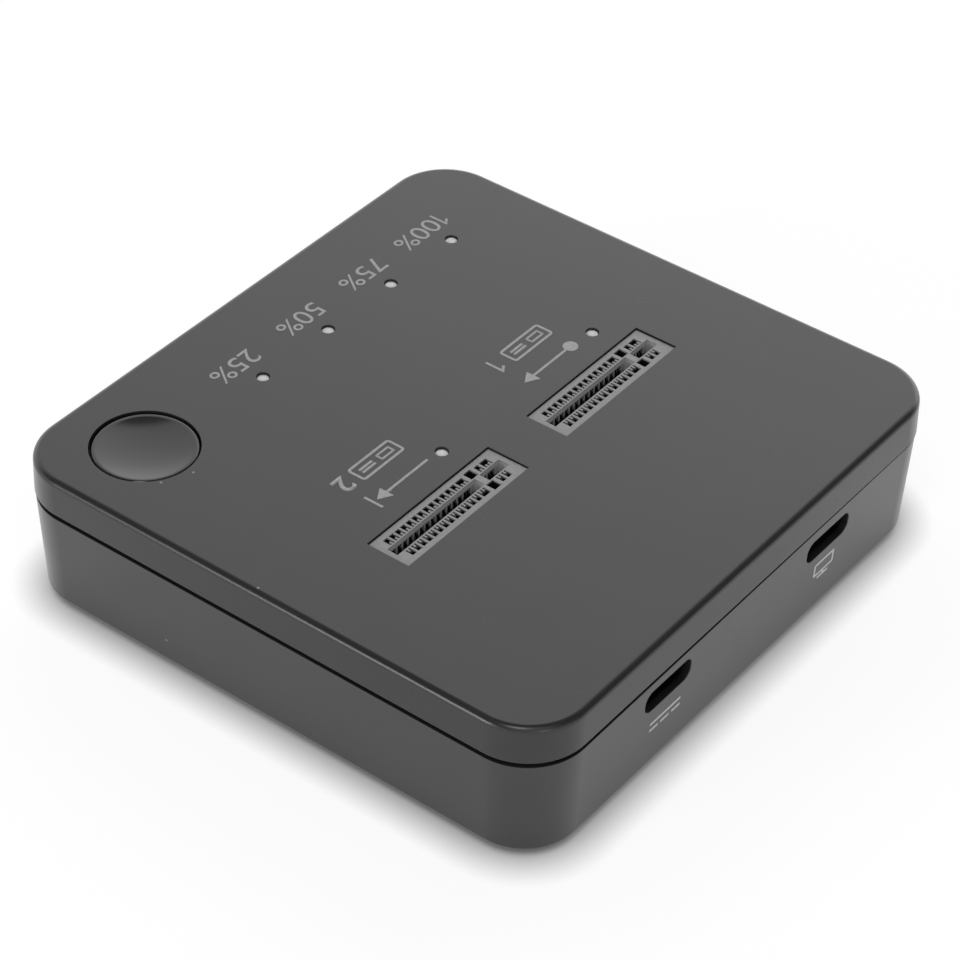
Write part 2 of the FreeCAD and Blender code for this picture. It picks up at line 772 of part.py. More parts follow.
def make_main_board():
    """The circuit board, with holes for screws, locating pegs and the receptacles' legs."""
    board = new_body("main_board")
    outline = rounded_rectangle(
        f"(case_length - 2 * {BOARD_SHRINK})", f"(case_width - 2 * {BOARD_SHRINK})", "board_corner_radius"
    )
    add(board, "Z", BOARD_BOTTOM, BOARD_TOP, outline)
    at_screws(board, remove, BOARD_BOTTOM, BOARD_TOP, "screw_diameter / 2 + screw_clearance")
    peg_hole = "(locating_peg_diameter / 2 + peg_clearance)"
    pegs = [
        circle(f"{x} + {side} * locating_peg_spacing / 2", "socket_y", peg_hole)
        for x in SOCKETS.values()
        for side in (-1, 1)
    ]
    remove(board, "Z", BOARD_BOTTOM, BOARD_TOP, together(*pegs))
    slots = []
    for port in PORTS.values():
        for x, y in leg_places(port):
            slots.append(rectangle(
                f"{x} - receptacle_metal / 2 - peg_clearance",
                f"{x} + receptacle_metal / 2 + peg_clearance",
                f"{y} - leg_length / 2 - peg_clearance",
                f"{y} + leg_length / 2 + peg_clearance",
            ))
    remove(board, "Z", BOARD_BOTTOM, BOARD_TOP, together(*slots))
    return board


# --- M.2 sockets ------------------------------------------------------------------------------

# The two contact rows. Every place is a count of contact pitches from the socket's middle.
#   side   which side of the card slot the row is on
#   runs   (contacts in the run, place of its first contact), before and after the key
#   pairs  place of the first two-contact cavity of the long run
#   others (contacts in the cavity, place of its middle), the cavities that aren't in that long run
#   blank  place of the empty cavity beside the key
ROWS = [
    {
        "side": -1,
        "runs": ((29, 18.5), (5, -14.5)),
        "pairs": 18,
        "others": ((3, -8.5), (2, -15), (3, -17.5)),
        "blank": -12,
    },
    {
        "side": 1,
        "runs": ((29, 18), (4, -15)),
        "pairs": 17.5,
        "others": ((3, -9), (2, -15.5), (2, -17.5)),
        "blank": -12.5,
    },
]
PAIR_COUNT = 13


def steps(count):
    """A distance of so many contact pitches."""
    return f"({count} * contact_pitch)"


def cavity_profile(side):
    """The upright section of a contact cavity, which opens into the slot below its lintel."""
    near = f"{side} * {WINDOW_START}"
    far = f"{side} * ({WINDOW_START} + window_width)"
    inner = f"{side} * (slot_width / 2 - 0.05)"
    lintel = f"({SOCKET_HEIGHT} - window_lintel)"
    sill = f"({SOCKET_HEIGHT} - slot_depth)"
    return polygon([
        (far, "0"),
        (far, SOCKET_HEIGHT),
        (near, SOCKET_HEIGHT),
        (near, lintel),
        (inner, lintel),
        (inner, sill),
        (near, sill),
        (near, "0"),
    ])


def web(row, place_steps):
    """A drawing of the short web that parts two neighbouring contacts under the lintel's edge."""
    side = row["side"]
    middle = steps(place_steps)
    return rectangle(
        f"{middle} - web_width / 2", f"{middle} + web_width / 2",
        f"{side} * ({WINDOW_START} - window_rib / 2)", f"{side} * ({WINDOW_START} + web_reach)",
    )


def make_socket(bay, x):
    """The moulded housing of one M.2 socket: keyed card slot, staggered cavities and two pegs."""
    socket = new_body(f"m2_socket_{bay}")
    place(socket, x, "socket_y", BOARD_TOP)
    edge = f"({SOCKET_LENGTH} / 2)"
    face = f"({SOCKET_WIDTH} / 2)"
    add(
        socket, "Z", "0", SOCKET_HEIGHT,
        rectangle(f"-{edge}", edge, f"-{face}", face),
    )
    slot = together(
        rectangle("-slot_length / 2", "-key_offset - key_width / 2", "-slot_width / 2", "slot_width / 2"),
        rectangle("-key_offset + key_width / 2", "slot_length / 2", "-slot_width / 2", "slot_width / 2"),
    )
    remove(socket, "Z", f"{SOCKET_HEIGHT} - slot_depth", SOCKET_HEIGHT, slot)
    for row in ROWS:
        section = cavity_profile(row["side"])
        middle = steps(row["pairs"])
        pair = remove(
            socket, "X", f"{middle} - {PAIR_LENGTH} / 2", f"{middle} + {PAIR_LENGTH} / 2", section
        )
        repeat(socket, pair, "-2 * contact_pitch", PAIR_COUNT, grows=False)
        for count, place_steps in row["others"]:
            middle = steps(place_steps)
            half = f"(({count} * contact_pitch - window_wall) / 2)"
            remove(socket, "X", f"{middle} - {half}", f"{middle} + {half}", section)
        middle = steps(row["blank"])
        near = f"{row['side']} * {WINDOW_START}"
        far = f"{row['side']} * ({WINDOW_START} + window_width + window_rib)"
        blank = rectangle(
            f"{middle} - blank_window_length / 2", f"{middle} + blank_window_length / 2", near, far
        )
        remove(socket, "Z", f"{SOCKET_HEIGHT} - slot_depth", SOCKET_HEIGHT, blank)
        # webs between the contacts that share a cavity
        lintel = f"{SOCKET_HEIGHT} - window_lintel"
        first = add(socket, "Z", lintel, SOCKET_HEIGHT, web(row, row["pairs"]))
        repeat(socket, first, "-2 * contact_pitch", PAIR_COUNT)
        places = [
            place_steps + i + 1 - count / 2 for count, place_steps in row["others"] for i in range(count - 1)
        ]
        add(socket, "Z", lintel, SOCKET_HEIGHT, together(*[web(row, i) for i in places]))
    pegs = together(*[
        circle(f"{side} * locating_peg_spacing / 2", "0", "locating_peg_diameter / 2") for side in (-1, 1)
    ])
    add(socket, "Z", "-locating_peg_length", "0", pegs)
    return socket


def contact_profile(side):
    """The upright section of one spring contact: tail, lean, rounded contact point and turned-out tip."""
    thick = "contact_thickness"
    back = f"({WINDOW_START} + window_width - window_rib)"
    lean_start = f"({SOCKET_HEIGHT} - slot_depth - contact_pitch)"
    bulge = f"({SOCKET_HEIGHT} - slot_depth / 2)"
    tip = f"({SOCKET_HEIGHT} - contact_tip_drop)"
    flare = f"({WINDOW_START} + window_rib)"
    return polygon([
        (f"{side} * {back}", "0"),
        (f"{side} * {back}", lean_start),
        (f"{side} * (contact_preload + {thick})", f"{bulge} - {thick}"),
        (f"{side} * (contact_preload + {thick})", f"{bulge} + {thick}"),
        (f"{side} * ({flare} + {thick})", f"{tip} - {thick}"),
        (f"{side} * ({flare} + 2 * {thick})", tip),
        (f"{side} * ({flare} + {thick} / 2)", tip),
        (f"{side} * contact_preload", f"{bulge} + {thick}"),
        (f"{side} * contact_preload", f"{bulge} - {thick}"),
        (f"{side} * ({back} - {thick})", f"{lean_start} - {thick}"),
        (f"{side} * ({back} - {thick})", "0"),
    ])


def make_contacts(bay, x):
    """All spring contacts of one M.2 socket, each a separate solid."""
    contacts = new_body(f"m2_contacts_{bay}")
    place(contacts, x, "socket_y", BOARD_TOP)
    for row in ROWS:
        section = contact_profile(row["side"])
        for count, first in row["runs"]:
            strip = add(
                contacts, "X", f"{steps(first)} - contact_width / 2", f"{steps(first)} + contact_width / 2",
                section,
            )
            repeat(contacts, strip, "-contact_pitch", count)
    return contacts


# --- USB-C receptacles ------------------------------------------------------------------------

def make_receptacle(use, x):
    """One receptacle: drawn metal shell with four legs, moulded tongue and its contact pads."""
    back = f"({PORT_MOUTH} - receptacle_depth)"
    inner_height = "(receptacle_height - 2 * receptacle_metal)"
    inner_radius = "(receptacle_radius - receptacle_metal / 2)"
    shell = new_body(f"usb_c_shell_{use}")
    add(
        shell, "Y", back, PORT_MOUTH,
        rounded_rectangle("receptacle_length", "receptacle_height", "receptacle_radius", x, PORT_Z),
    )
    inner_length = "(receptacle_length - 2 * receptacle_metal)"
    remove(
        shell, "Y", f"{back} + receptacle_metal", PORT_MOUTH,
        rounded_rectangle(inner_length, inner_height, inner_radius, x, PORT_Z),
    )
    legs = together(*[
        rectangle(
            f"{leg_x} - receptacle_metal / 2", f"{leg_x} + receptacle_metal / 2",
            f"{leg_y} - leg_length / 2", f"{leg_y} + leg_length / 2",
        )
        for leg_x, leg_y in leg_places(x)
    ])
    add(shell, "Z", f"{BOARD_BOTTOM} - leg_reach", PORT_Z, legs)

    tongue = new_body(f"usb_c_tongue_{use}")
    root = f"({back} + receptacle_metal)"
    fit = "peg_clearance"
    add(
        tongue, "Y", root, f"{root} + tongue_root",
        rounded_rectangle(
            f"({inner_length} - 2 * {fit})", f"({inner_height} - 2 * {fit})",
            f"({inner_radius} - {fit})", x, PORT_Z,
        ),
    )
    tongue_tip = f"({PORT_MOUTH} - tongue_setback)"
    add(
        tongue, "Y", root, tongue_tip,
        rectangle(
            f"{x} - tongue_length / 2", f"{x} + tongue_length / 2",
            f"{PORT_Z} - tongue_thickness / 2", f"{PORT_Z} + tongue_thickness / 2",
        ),
    )

    pads = new_body(f"usb_c_contacts_{use}")
    first = f"({x} - 5.5 * contact_pitch)"
    for side in (-1, 1):
        face = f"{PORT_Z} + {side} * tongue_thickness / 2"
        strip = add(
            pads, "Y", f"{tongue_tip} - tongue_setback - pad_reach", f"{tongue_tip} - tongue_setback",
            rectangle(
                f"{first} - pad_width / 2", f"{first} + pad_width / 2",
                face, f"{face} + {side} * pad_thickness",
            ),
        )
        repeat(pads, strip, "contact_pitch", 12)


# --- start button and its switch --------------------------------------------------------------

def make_start_button():
    """The dished cap with its retaining flange, two lugs and the stem that meets the switch."""
    button = new_body("start_button")
    place(button, BUTTON_X, BUTTON_Y)
    skin = f"({BUTTON_TOP} - button_dish - button_skin)"
    hollow = f"({BUTTON_RADIUS} - button_side)"
    stem = "(button_stem_diameter / 2)"
    stem_foot = f"({PLUNGER_TOP} + peg_clearance)"

    def outline(sketch):
        # the dish is an arc through the axis at its lowest and the inner edge of the rim at its highest
        rim = number(f"{BUTTON_RADIUS} - button_rim")
        depth = number("button_dish")
        top = number(BUTTON_TOP)
        bend = (rim * rim + depth * depth) / (2 * depth)
        centre = FreeCAD.Vector(0, top - depth + bend, 0)
        ring = Part.Circle(centre, FreeCAD.Vector(0, 0, 1), bend)
        lean = math.asin(rim / bend)
        dish = sketch.addGeometry(Part.ArcOfCircle(ring, -math.pi / 2, -math.pi / 2 + lean), False)
        constrain(sketch, "DistanceX", (-1, 1, dish, 3), "0")
        pin_point(sketch, dish, 1, "0", f"{BUTTON_TOP} - button_dish")
        pin_point(sketch, dish, 2, f"{BUTTON_RADIUS} - button_rim", BUTTON_TOP)
        corners = [
            (f"{BUTTON_RADIUS} - button_rim", BUTTON_TOP),
            (f"{BUTTON_RADIUS} - button_rim / 2", BUTTON_TOP),
            (BUTTON_RADIUS, f"{BUTTON_TOP} - button_rim / 2"),
            (BUTTON_RADIUS, FLANGE_TOP),
            (FLANGE_RADIUS, FLANGE_TOP),
            (FLANGE_RADIUS, FLANGE_BOTTOM),
            (hollow, FLANGE_BOTTOM),
            (hollow, skin),
            (stem, skin),
            (stem, stem_foot),
            ("0", stem_foot),
            ("0", f"{BUTTON_TOP} - button_dish"),
        ]
        points = [FreeCAD.Vector(number(x), number(y), 0) for x, y in corners]
        previous = dish
        for i in range(len(points) - 1):
            line = sketch.addGeometry(Part.LineSegment(points[i], points[i + 1]), False)
            sketch.addConstraint(Sketcher.Constraint("Coincident", previous, 2, line, 1))
            if i < len(points) - 2:
                pin_point(sketch, line, 2, *corners[i + 1])
            previous = line
        sketch.addConstraint(Sketcher.Constraint("Coincident", previous, 2, dish, 1))

    turn(button, outline)
    # four ribs stiffen the stem, and two lugs on the flange keep the cap from turning
    rib = "(button_side / 2)"
    for drawing in (
        rectangle(f"-{hollow}", hollow, f"-{rib}", rib),
        rectangle(f"-{rib}", rib, f"-{hollow}", hollow),
    ):
        add(button, "Z", FLANGE_BOTTOM, skin, drawing)
    lug_end = f"({FLANGE_RADIUS} + lug_length)"
    lugs = together(*[
        rectangle(f"{side} * {BUTTON_RADIUS}", f"{side} * {lug_end}", "-lug_width / 2", "lug_width / 2")
        for side in (-1, 1)
    ])
    add(button, "Z", FLANGE_BOTTOM, FLANGE_TOP, lugs)
    return button


def make_switch():
    """The tact switch: moulded base, metal top plate, terminals, snap dome and plunger."""
    base = new_body("switch_body")
    place(base, BUTTON_X, BUTTON_Y, BOARD_TOP)
    half = "(switch_side / 2)"
    plate_low = "(switch_height - switch_plate)"
    floor = "(switch_height - switch_plate - switch_well_depth)"
    add(base, "Z", "0", plate_low, rectangle(f"-{half}", half, f"-{half}", half))
    remove(base, "Z", floor, plate_low, circle("0", "0", "switch_well_diameter / 2"))

    plate = new_body("switch_plate")
    place(plate, BUTTON_X, BUTTON_Y, BOARD_TOP)
    add(plate, "Z", plate_low, "switch_height", together(
        rectangle(f"-{half}", half, f"-{half}", half),
        circle("0", "0", "plunger_diameter / 2 + plunger_clearance"),
    ))

    plunger = new_body("switch_plunger")
    place(plunger, BUTTON_X, BUTTON_Y, BOARD_TOP)
    flange_top = f"({plate_low} - plunger_clearance / 2)"
    shaft = "(plunger_diameter / 2)"
    flange = "(plunger_flange_diameter / 2)"
    crown = "(switch_height + plunger_proud)"
    nub = "(nub_diameter / 2)"
    nub_foot = f"({floor} + {DOME_RISE} + plunger_clearance / 4)"
    turn(plunger, polygon([
        ("0", nub_foot),
        (nub, nub_foot),
        (nub, f"{flange_top} - plunger_flange_thickness"),
        (flange, f"{flange_top} - plunger_flange_thickness"),
        (flange, flange_top),
        (shaft, flange_top),
        (shaft, f"{crown} - plunger_clearance"),
        (f"{shaft} - plunger_clearance", crown),
        ("0", crown),
    ]))

    dome = new_body("switch_dome")
    place(dome, BUTTON_X, BUTTON_Y, BOARD_TOP)
    reach = "(switch_well_diameter / 2 - plunger_clearance)"
    turn(dome, polygon([
        ("0", f"{floor} + {DOME_RISE} - dome_thickness"),
        (f"{reach} / 2", f"{floor} + {DOME_RISE} * 0.75 - dome_thickness"),
        (f"{reach} - 2 * dome_thickness", floor),
        (reach, floor),
        (f"{reach} / 2 + dome_thickness", f"{floor} + {DOME_RISE} * 0.75"),
        ("0", f"{floor} + {DOME_RISE}"),
    ]))

    terminals = new_body("switch_terminals")
    place(terminals, BUTTON_X, BUTTON_Y, BOARD_TOP)
    rise = "(switch_height / 2)"
    for side in (-1, 1):
        section = polygon([
            (f"{side} * {half}", rise),
            (f"{side} * ({half} + terminal_thickness)", rise),
            (f"{side} * ({half} + terminal_thickness)", "terminal_thickness"),
            (f"{side} * ({half} + terminal_foot)", "terminal_thickness"),
            (f"{side} * ({half} + terminal_foot)", "0"),
            (f"{side} * {half}", "0"),
        ])
        strip = add(
            terminals, "X", "-terminal_spacing / 2 - terminal_width / 2",
            "-terminal_spacing / 2 + terminal_width / 2", section,
        )
        repeat(terminals, strip, "terminal_spacing", 2)


# --- lamps and light guides -------------------------------------------------------------------

def lamp_row():
    """Centres of the four progress lamps."""
    return [(f"({LAMP_ROW_X} - {i} * lamp_pitch)", LAMP_ROW_Y) for i in range(LAMP_COUNT)]


def make_progress_guide():
    """One clear moulding with four pins, hung on the cover's two rivets."""
    length = f"(lamp_pitch * {LAMP_COUNT - 1} + 2 * guide_bar_overhang)"
    bar = block(
        "guide_bar", LAMP_ROW_MIDDLE, LAMP_ROW_Y, BAR_LOW, length, "guide_bar_width", "guide_bar_thickness"
    )
    solids = [bar]
    for i, (x, y) in enumerate(lamp_row(), start=1):
        solids.append(rod(f"guide_pin_{i}", x, y, ROOF, GUIDE_TOP, "guide_diameter"))
        solids.append(rod(f"guide_foot_{i}", x, y, GUIDE_FOOT, BAR_LOW, "guide_foot_diameter"))
    holes = [
        rod(
            f"rivet_hole_{i}", f"{LAMP_ROW_MIDDLE} + {side} * {RIVET_REACH}", LAMP_ROW_Y, BAR_LOW, ROOF,
            "rivet_diameter + 2 * rivet_clearance",
        )
        for i, side in enumerate((-1, 1), start=1)
    ]
    guide = cut("guide_comb", fused("guide_solids", solids), fused("guide_rivet_holes", holes))
    keep(guide, "progress_light_guide")


def make_status_guide(bay, x, y):
    """One clear pin with a flange that seats in the cover's ring."""
    guide = new_body(f"status_light_guide_{bay}")
    place(guide, x, y)
    pin = "(guide_diameter / 2)"
    flange = "(guide_flange_diameter / 2)"
    foot = "(guide_foot_diameter / 2)"
    turn(guide, polygon([
        ("0", GUIDE_FOOT),
        (foot, GUIDE_FOOT),
        (foot, BAR_LOW),
        (flange, BAR_LOW),
        (flange, ROOF),
        (pin, ROOF),
        (pin, GUIDE_TOP),
        ("0", GUIDE_TOP),
    ]))


def make_lamps():
    """Six surface-mounted indicator diodes, one under each light guide."""
    centres = lamp_row() + list(STATUS_LAMPS.values())
    lamps = [
        block(f"lamp_{i}", x, y, BOARD_TOP, "lamp_length", "lamp_width", "lamp_height")
        for i, (x, y) in enumerate(centres, start=1)
    ]
    keep(group("lamps", lamps), "indicator_lamps")


# --- other components on the board ------------------------------------------------------------

def make_chips():
    """Bridge chips in front of the sockets, the copy controller and its memory."""
    for bay, x in SOCKETS.items():
        chip = block(f"bridge_{bay}", x, BRIDGE_Y, BOARD_TOP, "bridge_side", "bridge_side", "bridge_height")
        keep(chip, f"bridge_chip_{bay}")
    controller = block(
        "controller", "0", "(case_width / 2 - controller_inset)", BOARD_TOP,
        "controller_side", "controller_side", "controller_height",
    )
    keep(controller, "copy_controller_chip")
    memory = block(
        "memory", "(memory_inset_x - case_length / 2)", "(case_width / 2 - memory_inset_y)", BOARD_TOP,
        "memory_length", "memory_width", "memory_height",
    )
    keep(memory, "firmware_memory_chip")


def make_inductors():
    """Two moulded power inductors beside the power receptacle."""
    inductors = new_body("power_inductors")
    side = "(inductor_side / 2)"
    corner = f"({side} - inductor_chamfer)"
    octagon = polygon([
        (f"(case_length / 2 - inductor_inset) + {x}", f"(case_width / 2 - inductor_inset) + {y}")
        for x, y in (
            (side, f"-{corner}"), (side, corner), (corner, side), (f"-{corner}", side),
            (f"-{side}", corner), (f"-{side}", f"-{corner}"),
            (f"-{corner}", f"-{side}"), (corner, f"-{side}"),
        )
    ])
    first = add(inductors, "Z", BOARD_TOP, f"{BOARD_TOP} + inductor_height", octagon)
    repeat(inductors, first, "-inductor_spacing", 2, axis="Y")


def make_bulk_capacitor():
    """A round can with a groove above its square base."""
    can = new_body("bulk_capacitor")
    place(
        can, "(bulk_capacitor_inset_x - case_length / 2)", "(case_width / 2 - bulk_capacitor_inset_y)",
        BOARD_TOP,
    )
    half = "(bulk_capacitor_diameter / 2)"
    add(can, "Z", "0", "bulk_capacitor_base", rectangle(f"-{half}", half, f"-{half}", half))
    add(can, "Z", "bulk_capacitor_base", "bulk_capacitor_height", circle("0", "0", half))
    round_edges(can, "bulk_capacitor_height", "bulk_capacitor_base / 2")


def make_crystals():
    """One crystal in front of each bridge chip."""
    crystals = [
        block(
            f"crystal_{bay}", x, f"{BRIDGE_Y} - crystal_drop", BOARD_TOP,
            "crystal_length", "crystal_width", "crystal_height",
        )
        for bay, x in SOCKETS.items()
    ]
    keep(group("crystals", crystals), "timing_crystals")


def make_ceramic_capacitors():
    """A row of small capacitors beside each bridge chip."""
    capacitors = []
    for bay, x in SOCKETS.items():
        column = f"({x} + bridge_side / 2 + ceramic_gap)"
        for i in range(-2, 3):
            capacitors.append(block(
                f"ceramic_{bay}_{i + 3}", column, f"({BRIDGE_Y} + {i} * ceramic_pitch)", BOARD_TOP,
                "ceramic_length", "ceramic_width", "ceramic_height",
            ))
    keep(group("ceramics", capacitors), "ceramic_capacitors")


def write_pieces():
    """Check every object, then write one STEP file for each sub-part."""
    doc.recompute()
    for item in doc.Objects:
        if {"Invalid", "Error"} & set(item.State):
            raise RuntimeError(f"{item.Name} failed: {item.State}")
    for piece in pieces:
        if piece.Shape.isNull() or not piece.Shape.isValid():
            raise RuntimeError(f"{piece.Label} has no valid shape")
    os.makedirs("parts", exist_ok=True)
    for piece in pieces:
        piece.Shape.exportStep(f"parts/{piece.Label}.step")
        box = piece.Shape.BoundBox
        print(
            f"{piece.Label}: {len(piece.Shape.Solids)} solid(s), volume {piece.Shape.Volume:.1f}, "
            f"x {box.XMin:.2f}..{box.XMax:.2f}, y {box.YMin:.2f}..{box.YMax:.2f}, "
            f"z {box.ZMin:.2f}..{box.ZMax:.2f}"
        )


make_top_cover()
make_bottom_shell()
make_feet()
make_case_screws()
make_main_board()
for bay_name, bay_x in SOCKETS.items():
    make_socket(bay_name, bay_x)
    make_contacts(bay_name, bay_x)
for use_name, use_x in PORTS.items():
    make_receptacle(use_name, use_x)
make_start_button()
make_switch()
make_progress_guide()
for bay_name, (lamp_x, lamp_y) in STATUS_LAMPS.items():
    make_status_guide(bay_name, lamp_x, lamp_y)
make_lamps()
make_chips()
make_inductors()
make_bulk_capacitor()
make_crystals()
make_ceramic_capacitors()
write_pieces()
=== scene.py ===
import math

import bmesh
import bpy
from mathutils import Matrix, Vector


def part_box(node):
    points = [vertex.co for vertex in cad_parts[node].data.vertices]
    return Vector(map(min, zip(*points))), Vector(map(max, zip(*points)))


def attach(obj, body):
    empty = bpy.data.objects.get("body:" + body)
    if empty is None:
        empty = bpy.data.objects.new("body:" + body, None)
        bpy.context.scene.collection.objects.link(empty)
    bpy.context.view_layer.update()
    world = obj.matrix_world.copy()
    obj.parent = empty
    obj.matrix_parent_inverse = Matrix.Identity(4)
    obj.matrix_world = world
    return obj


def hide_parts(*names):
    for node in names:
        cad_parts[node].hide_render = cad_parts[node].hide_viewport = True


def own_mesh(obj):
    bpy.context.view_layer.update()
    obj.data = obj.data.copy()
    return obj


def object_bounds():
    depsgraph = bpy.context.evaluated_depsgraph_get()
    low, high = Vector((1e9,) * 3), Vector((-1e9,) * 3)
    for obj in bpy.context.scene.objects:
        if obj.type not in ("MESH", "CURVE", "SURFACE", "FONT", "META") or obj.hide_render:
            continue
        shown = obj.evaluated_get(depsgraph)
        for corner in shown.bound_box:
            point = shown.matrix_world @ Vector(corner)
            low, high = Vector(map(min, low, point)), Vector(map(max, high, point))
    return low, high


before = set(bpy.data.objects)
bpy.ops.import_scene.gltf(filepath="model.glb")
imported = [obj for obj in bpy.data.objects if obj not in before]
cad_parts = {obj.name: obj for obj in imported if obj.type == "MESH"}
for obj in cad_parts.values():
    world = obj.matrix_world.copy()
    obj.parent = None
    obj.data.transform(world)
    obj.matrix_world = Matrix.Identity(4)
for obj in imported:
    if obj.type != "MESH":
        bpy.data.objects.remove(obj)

# Dressed model of a stand-alone drive duplicator: a dark satin case in two mouldings, two upright card
# sockets, six light guides, a dished button and two receptacles in the rear wall. Metres, +Z up; the
# user sits at -Y and the receptacles look along +Y.

cad_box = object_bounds()
MM = 0.001


# --- workbench --------------------------------------------------------------------------------

def let_go():
    """Leave edit mode and deselect everything."""
    if bpy.context.object and bpy.context.object.mode != "OBJECT":
        bpy.ops.object.mode_set(mode="OBJECT")
    bpy.ops.object.select_all(action="DESELECT")


def take(piece):
    """Make one piece the only selected and active one."""
    let_go()
    piece.select_set(True)
    bpy.context.view_layer.objects.active = piece


def open_up(piece, part="FACE"):
    """Enter edit mode on a piece with nothing selected."""
    take(piece)
    bpy.ops.object.mode_set(mode="EDIT")
    bpy.ops.mesh.select_mode(type=part)
    bpy.ops.mesh.select_all(action="DESELECT")


def close_up():
    bpy.ops.object.mode_set(mode="OBJECT")


def choose_faces(piece, test):
    """Select the faces whose middle and normal pass a test."""
    bpy.ops.mesh.select_mode(type="FACE")
    bpy.ops.mesh.select_all(action="DESELECT")
    mesh = bmesh.from_edit_mesh(piece.data)
    mesh.normal_update()
    for face in mesh.faces:
        if test(face.calc_center_median(), face.normal):
            face.select_set(True)
    mesh.select_flush_mode()
    bmesh.update_edit_mesh(piece.data)


def choose_edges(piece, test):
    """Select the edges that pass a test."""
    bpy.ops.mesh.select_mode(type="EDGE")
    bpy.ops.mesh.select_all(action="DESELECT")
    mesh = bmesh.from_edit_mesh(piece.data)
    mesh.normal_update()
    for edge in mesh.edges:
        if test(edge):
            edge.select_set(True)
    bmesh.update_edit_mesh(piece.data)


def same_height(first, second):
    return abs(first - second) < 0.002 * MM


def at_level(edge, z):
    return all(same_height(vertex.co.z, z) for vertex in edge.verts)


def is_crease(edge):
    """True where two faces meet at a sharp turn."""
    return len(edge.link_faces) == 2 and edge.calc_face_angle(0) > math.radians(50)


def meets_outer_wall(edge, side):
    """True where an outward-facing wall rises (side 1) or drops (side -1) from an edge."""
    for face in edge.link_faces:
        middle = face.calc_center_median()
        upright = abs(face.normal.z) < 0.5
        outward = face.normal.xy.dot(middle.xy) > 0
        if upright and outward and side * (middle.z - edge.verts[0].co.z) > 0:
            return True
    return False


def rounded_plate(name, length, width, radius, place, steps=16):
    """A flat face with round corners, which a moulding is drawn up from."""
    let_go()
    bpy.ops.mesh.primitive_plane_add(size=1, location=place)
    plate = bpy.context.object
    plate.name = name
    bpy.ops.object.mode_set(mode="EDIT")
    bpy.ops.mesh.select_all(action="SELECT")
    bpy.ops.transform.resize(value=(length, width, 1), center_override=place)
    bpy.ops.mesh.bevel(offset=radius, offset_type="OFFSET", segments=steps, affect="VERTICES")
    close_up()
    settle(plate)
    return plate


def settle(piece):
    """Put a piece's place, turn and size into its mesh."""
    take(piece)
    bpy.ops.object.transform_apply(location=True, rotation=True, scale=True)


def draw_out(distance, axis="Z"):
    """Extrude the selection along an axis."""
    shift = {"Y": (0, distance, 0), "Z": (0, 0, distance)}[axis]
    bpy.ops.mesh.extrude_region_move(TRANSFORM_OT_translate={"value": shift})


def face_outwards():
    bpy.ops.mesh.select_all(action="SELECT")
    bpy.ops.mesh.normals_make_consistent(inside=False)


def thicken_plate(plate, distance, axis):
    """Draw a plate out into a closed block."""
    open_up(plate)
    bpy.ops.mesh.select_all(action="SELECT")
    draw_out(distance, axis)
    face_outwards()
    close_up()
    return plate


def close_outline(piece):
    """Close the hole that the one open outline of a wall leaves."""
    choose_edges(piece, lambda edge: edge.is_boundary)
    bpy.ops.mesh.edge_face_add()
    face_outwards()


def break_edges(piece, test, size, segments):
    """Round the edges that pass a test; the piece is open."""
    choose_edges(piece, test)
    bpy.ops.mesh.bevel(offset=size, offset_type="OFFSET", segments=segments, affect="EDGES")


def block(name, low, high):
    """A box between two corners."""
    let_go()
    middle = (Vector(low) + Vector(high)) / 2
    bpy.ops.mesh.primitive_cube_add(size=1, location=middle)
    box = bpy.context.object
    box.name = name
    box.scale = Vector(high) - Vector(low)
    settle(box)
    return box


def rod(name, x, y, low, high, radius, sides=32):
    """An upright round bar between two levels."""
    let_go()
    bpy.ops.mesh.primitive_cylinder_add(
        vertices=sides, radius=radius, depth=high - low, location=(x, y, (low + high) / 2)
    )
    bar = bpy.context.object
    bar.name = name
    settle(bar)
    return bar


def turned(name, profile, x, y, steps=64):
    """Turn a profile of (radius, height) points about an upright axis through (x, y)."""
    let_go()
    radius, height = profile[0]
    bpy.ops.mesh.primitive_plane_add(size=MM, location=(x + radius, y, height))
    piece = bpy.context.object
    piece.name = name
    bpy.ops.object.mode_set(mode="EDIT")
    bpy.ops.mesh.select_mode(type="VERT")
    bpy.ops.mesh.select_all(action="SELECT")
    bpy.ops.mesh.merge(type="CENTER")
    for (r0, z0), (r1, z1) in zip(profile, profile[1:]):
        bpy.ops.mesh.extrude_region_move(TRANSFORM_OT_translate={"value": (r1 - r0, 0, z1 - z0)})
    bpy.ops.mesh.select_all(action="SELECT")
    bpy.ops.mesh.spin(steps=steps, angle=math.tau, center=(x, y, 0), axis=(0, 0, 1))
    bpy.ops.mesh.select_all(action="SELECT")
    bpy.ops.mesh.remove_doubles(threshold=0.0001 * MM)
    face_outwards()
    close_up()
    settle(piece)
    return piece


def apply_modifier(piece, kind, **settings):
    take(piece)
    bpy.ops.object.modifier_add(type=kind)
    modifier = piece.modifiers[-1]
    for name, value in settings.items():
        setattr(modifier, name, value)
    bpy.ops.object.modifier_apply(modifier=modifier.name)


def cut_away(piece, *cutters):
    """Take cutters out of a piece and throw them away."""
    for cutter in cutters:
        apply_modifier(piece, "BOOLEAN", operation="DIFFERENCE", solver="EXACT", object=cutter)
        bpy.data.objects.remove(cutter)


def joined(piece, *others):
    """Make one object of several."""
    take(piece)
    for other in others:
        other.select_set(True)
    bpy.ops.object.join()
    return piece


def smooth(piece, degrees=30):
    """Shade curves smoothly, keep real edges, and keep flat faces flat."""
    take(piece)
    bpy.ops.object.shade_smooth_by_angle(angle=math.radians(degrees))
    apply_modifier(piece, "WEIGHTED_NORMAL", keep_sharp=True, weight=90)


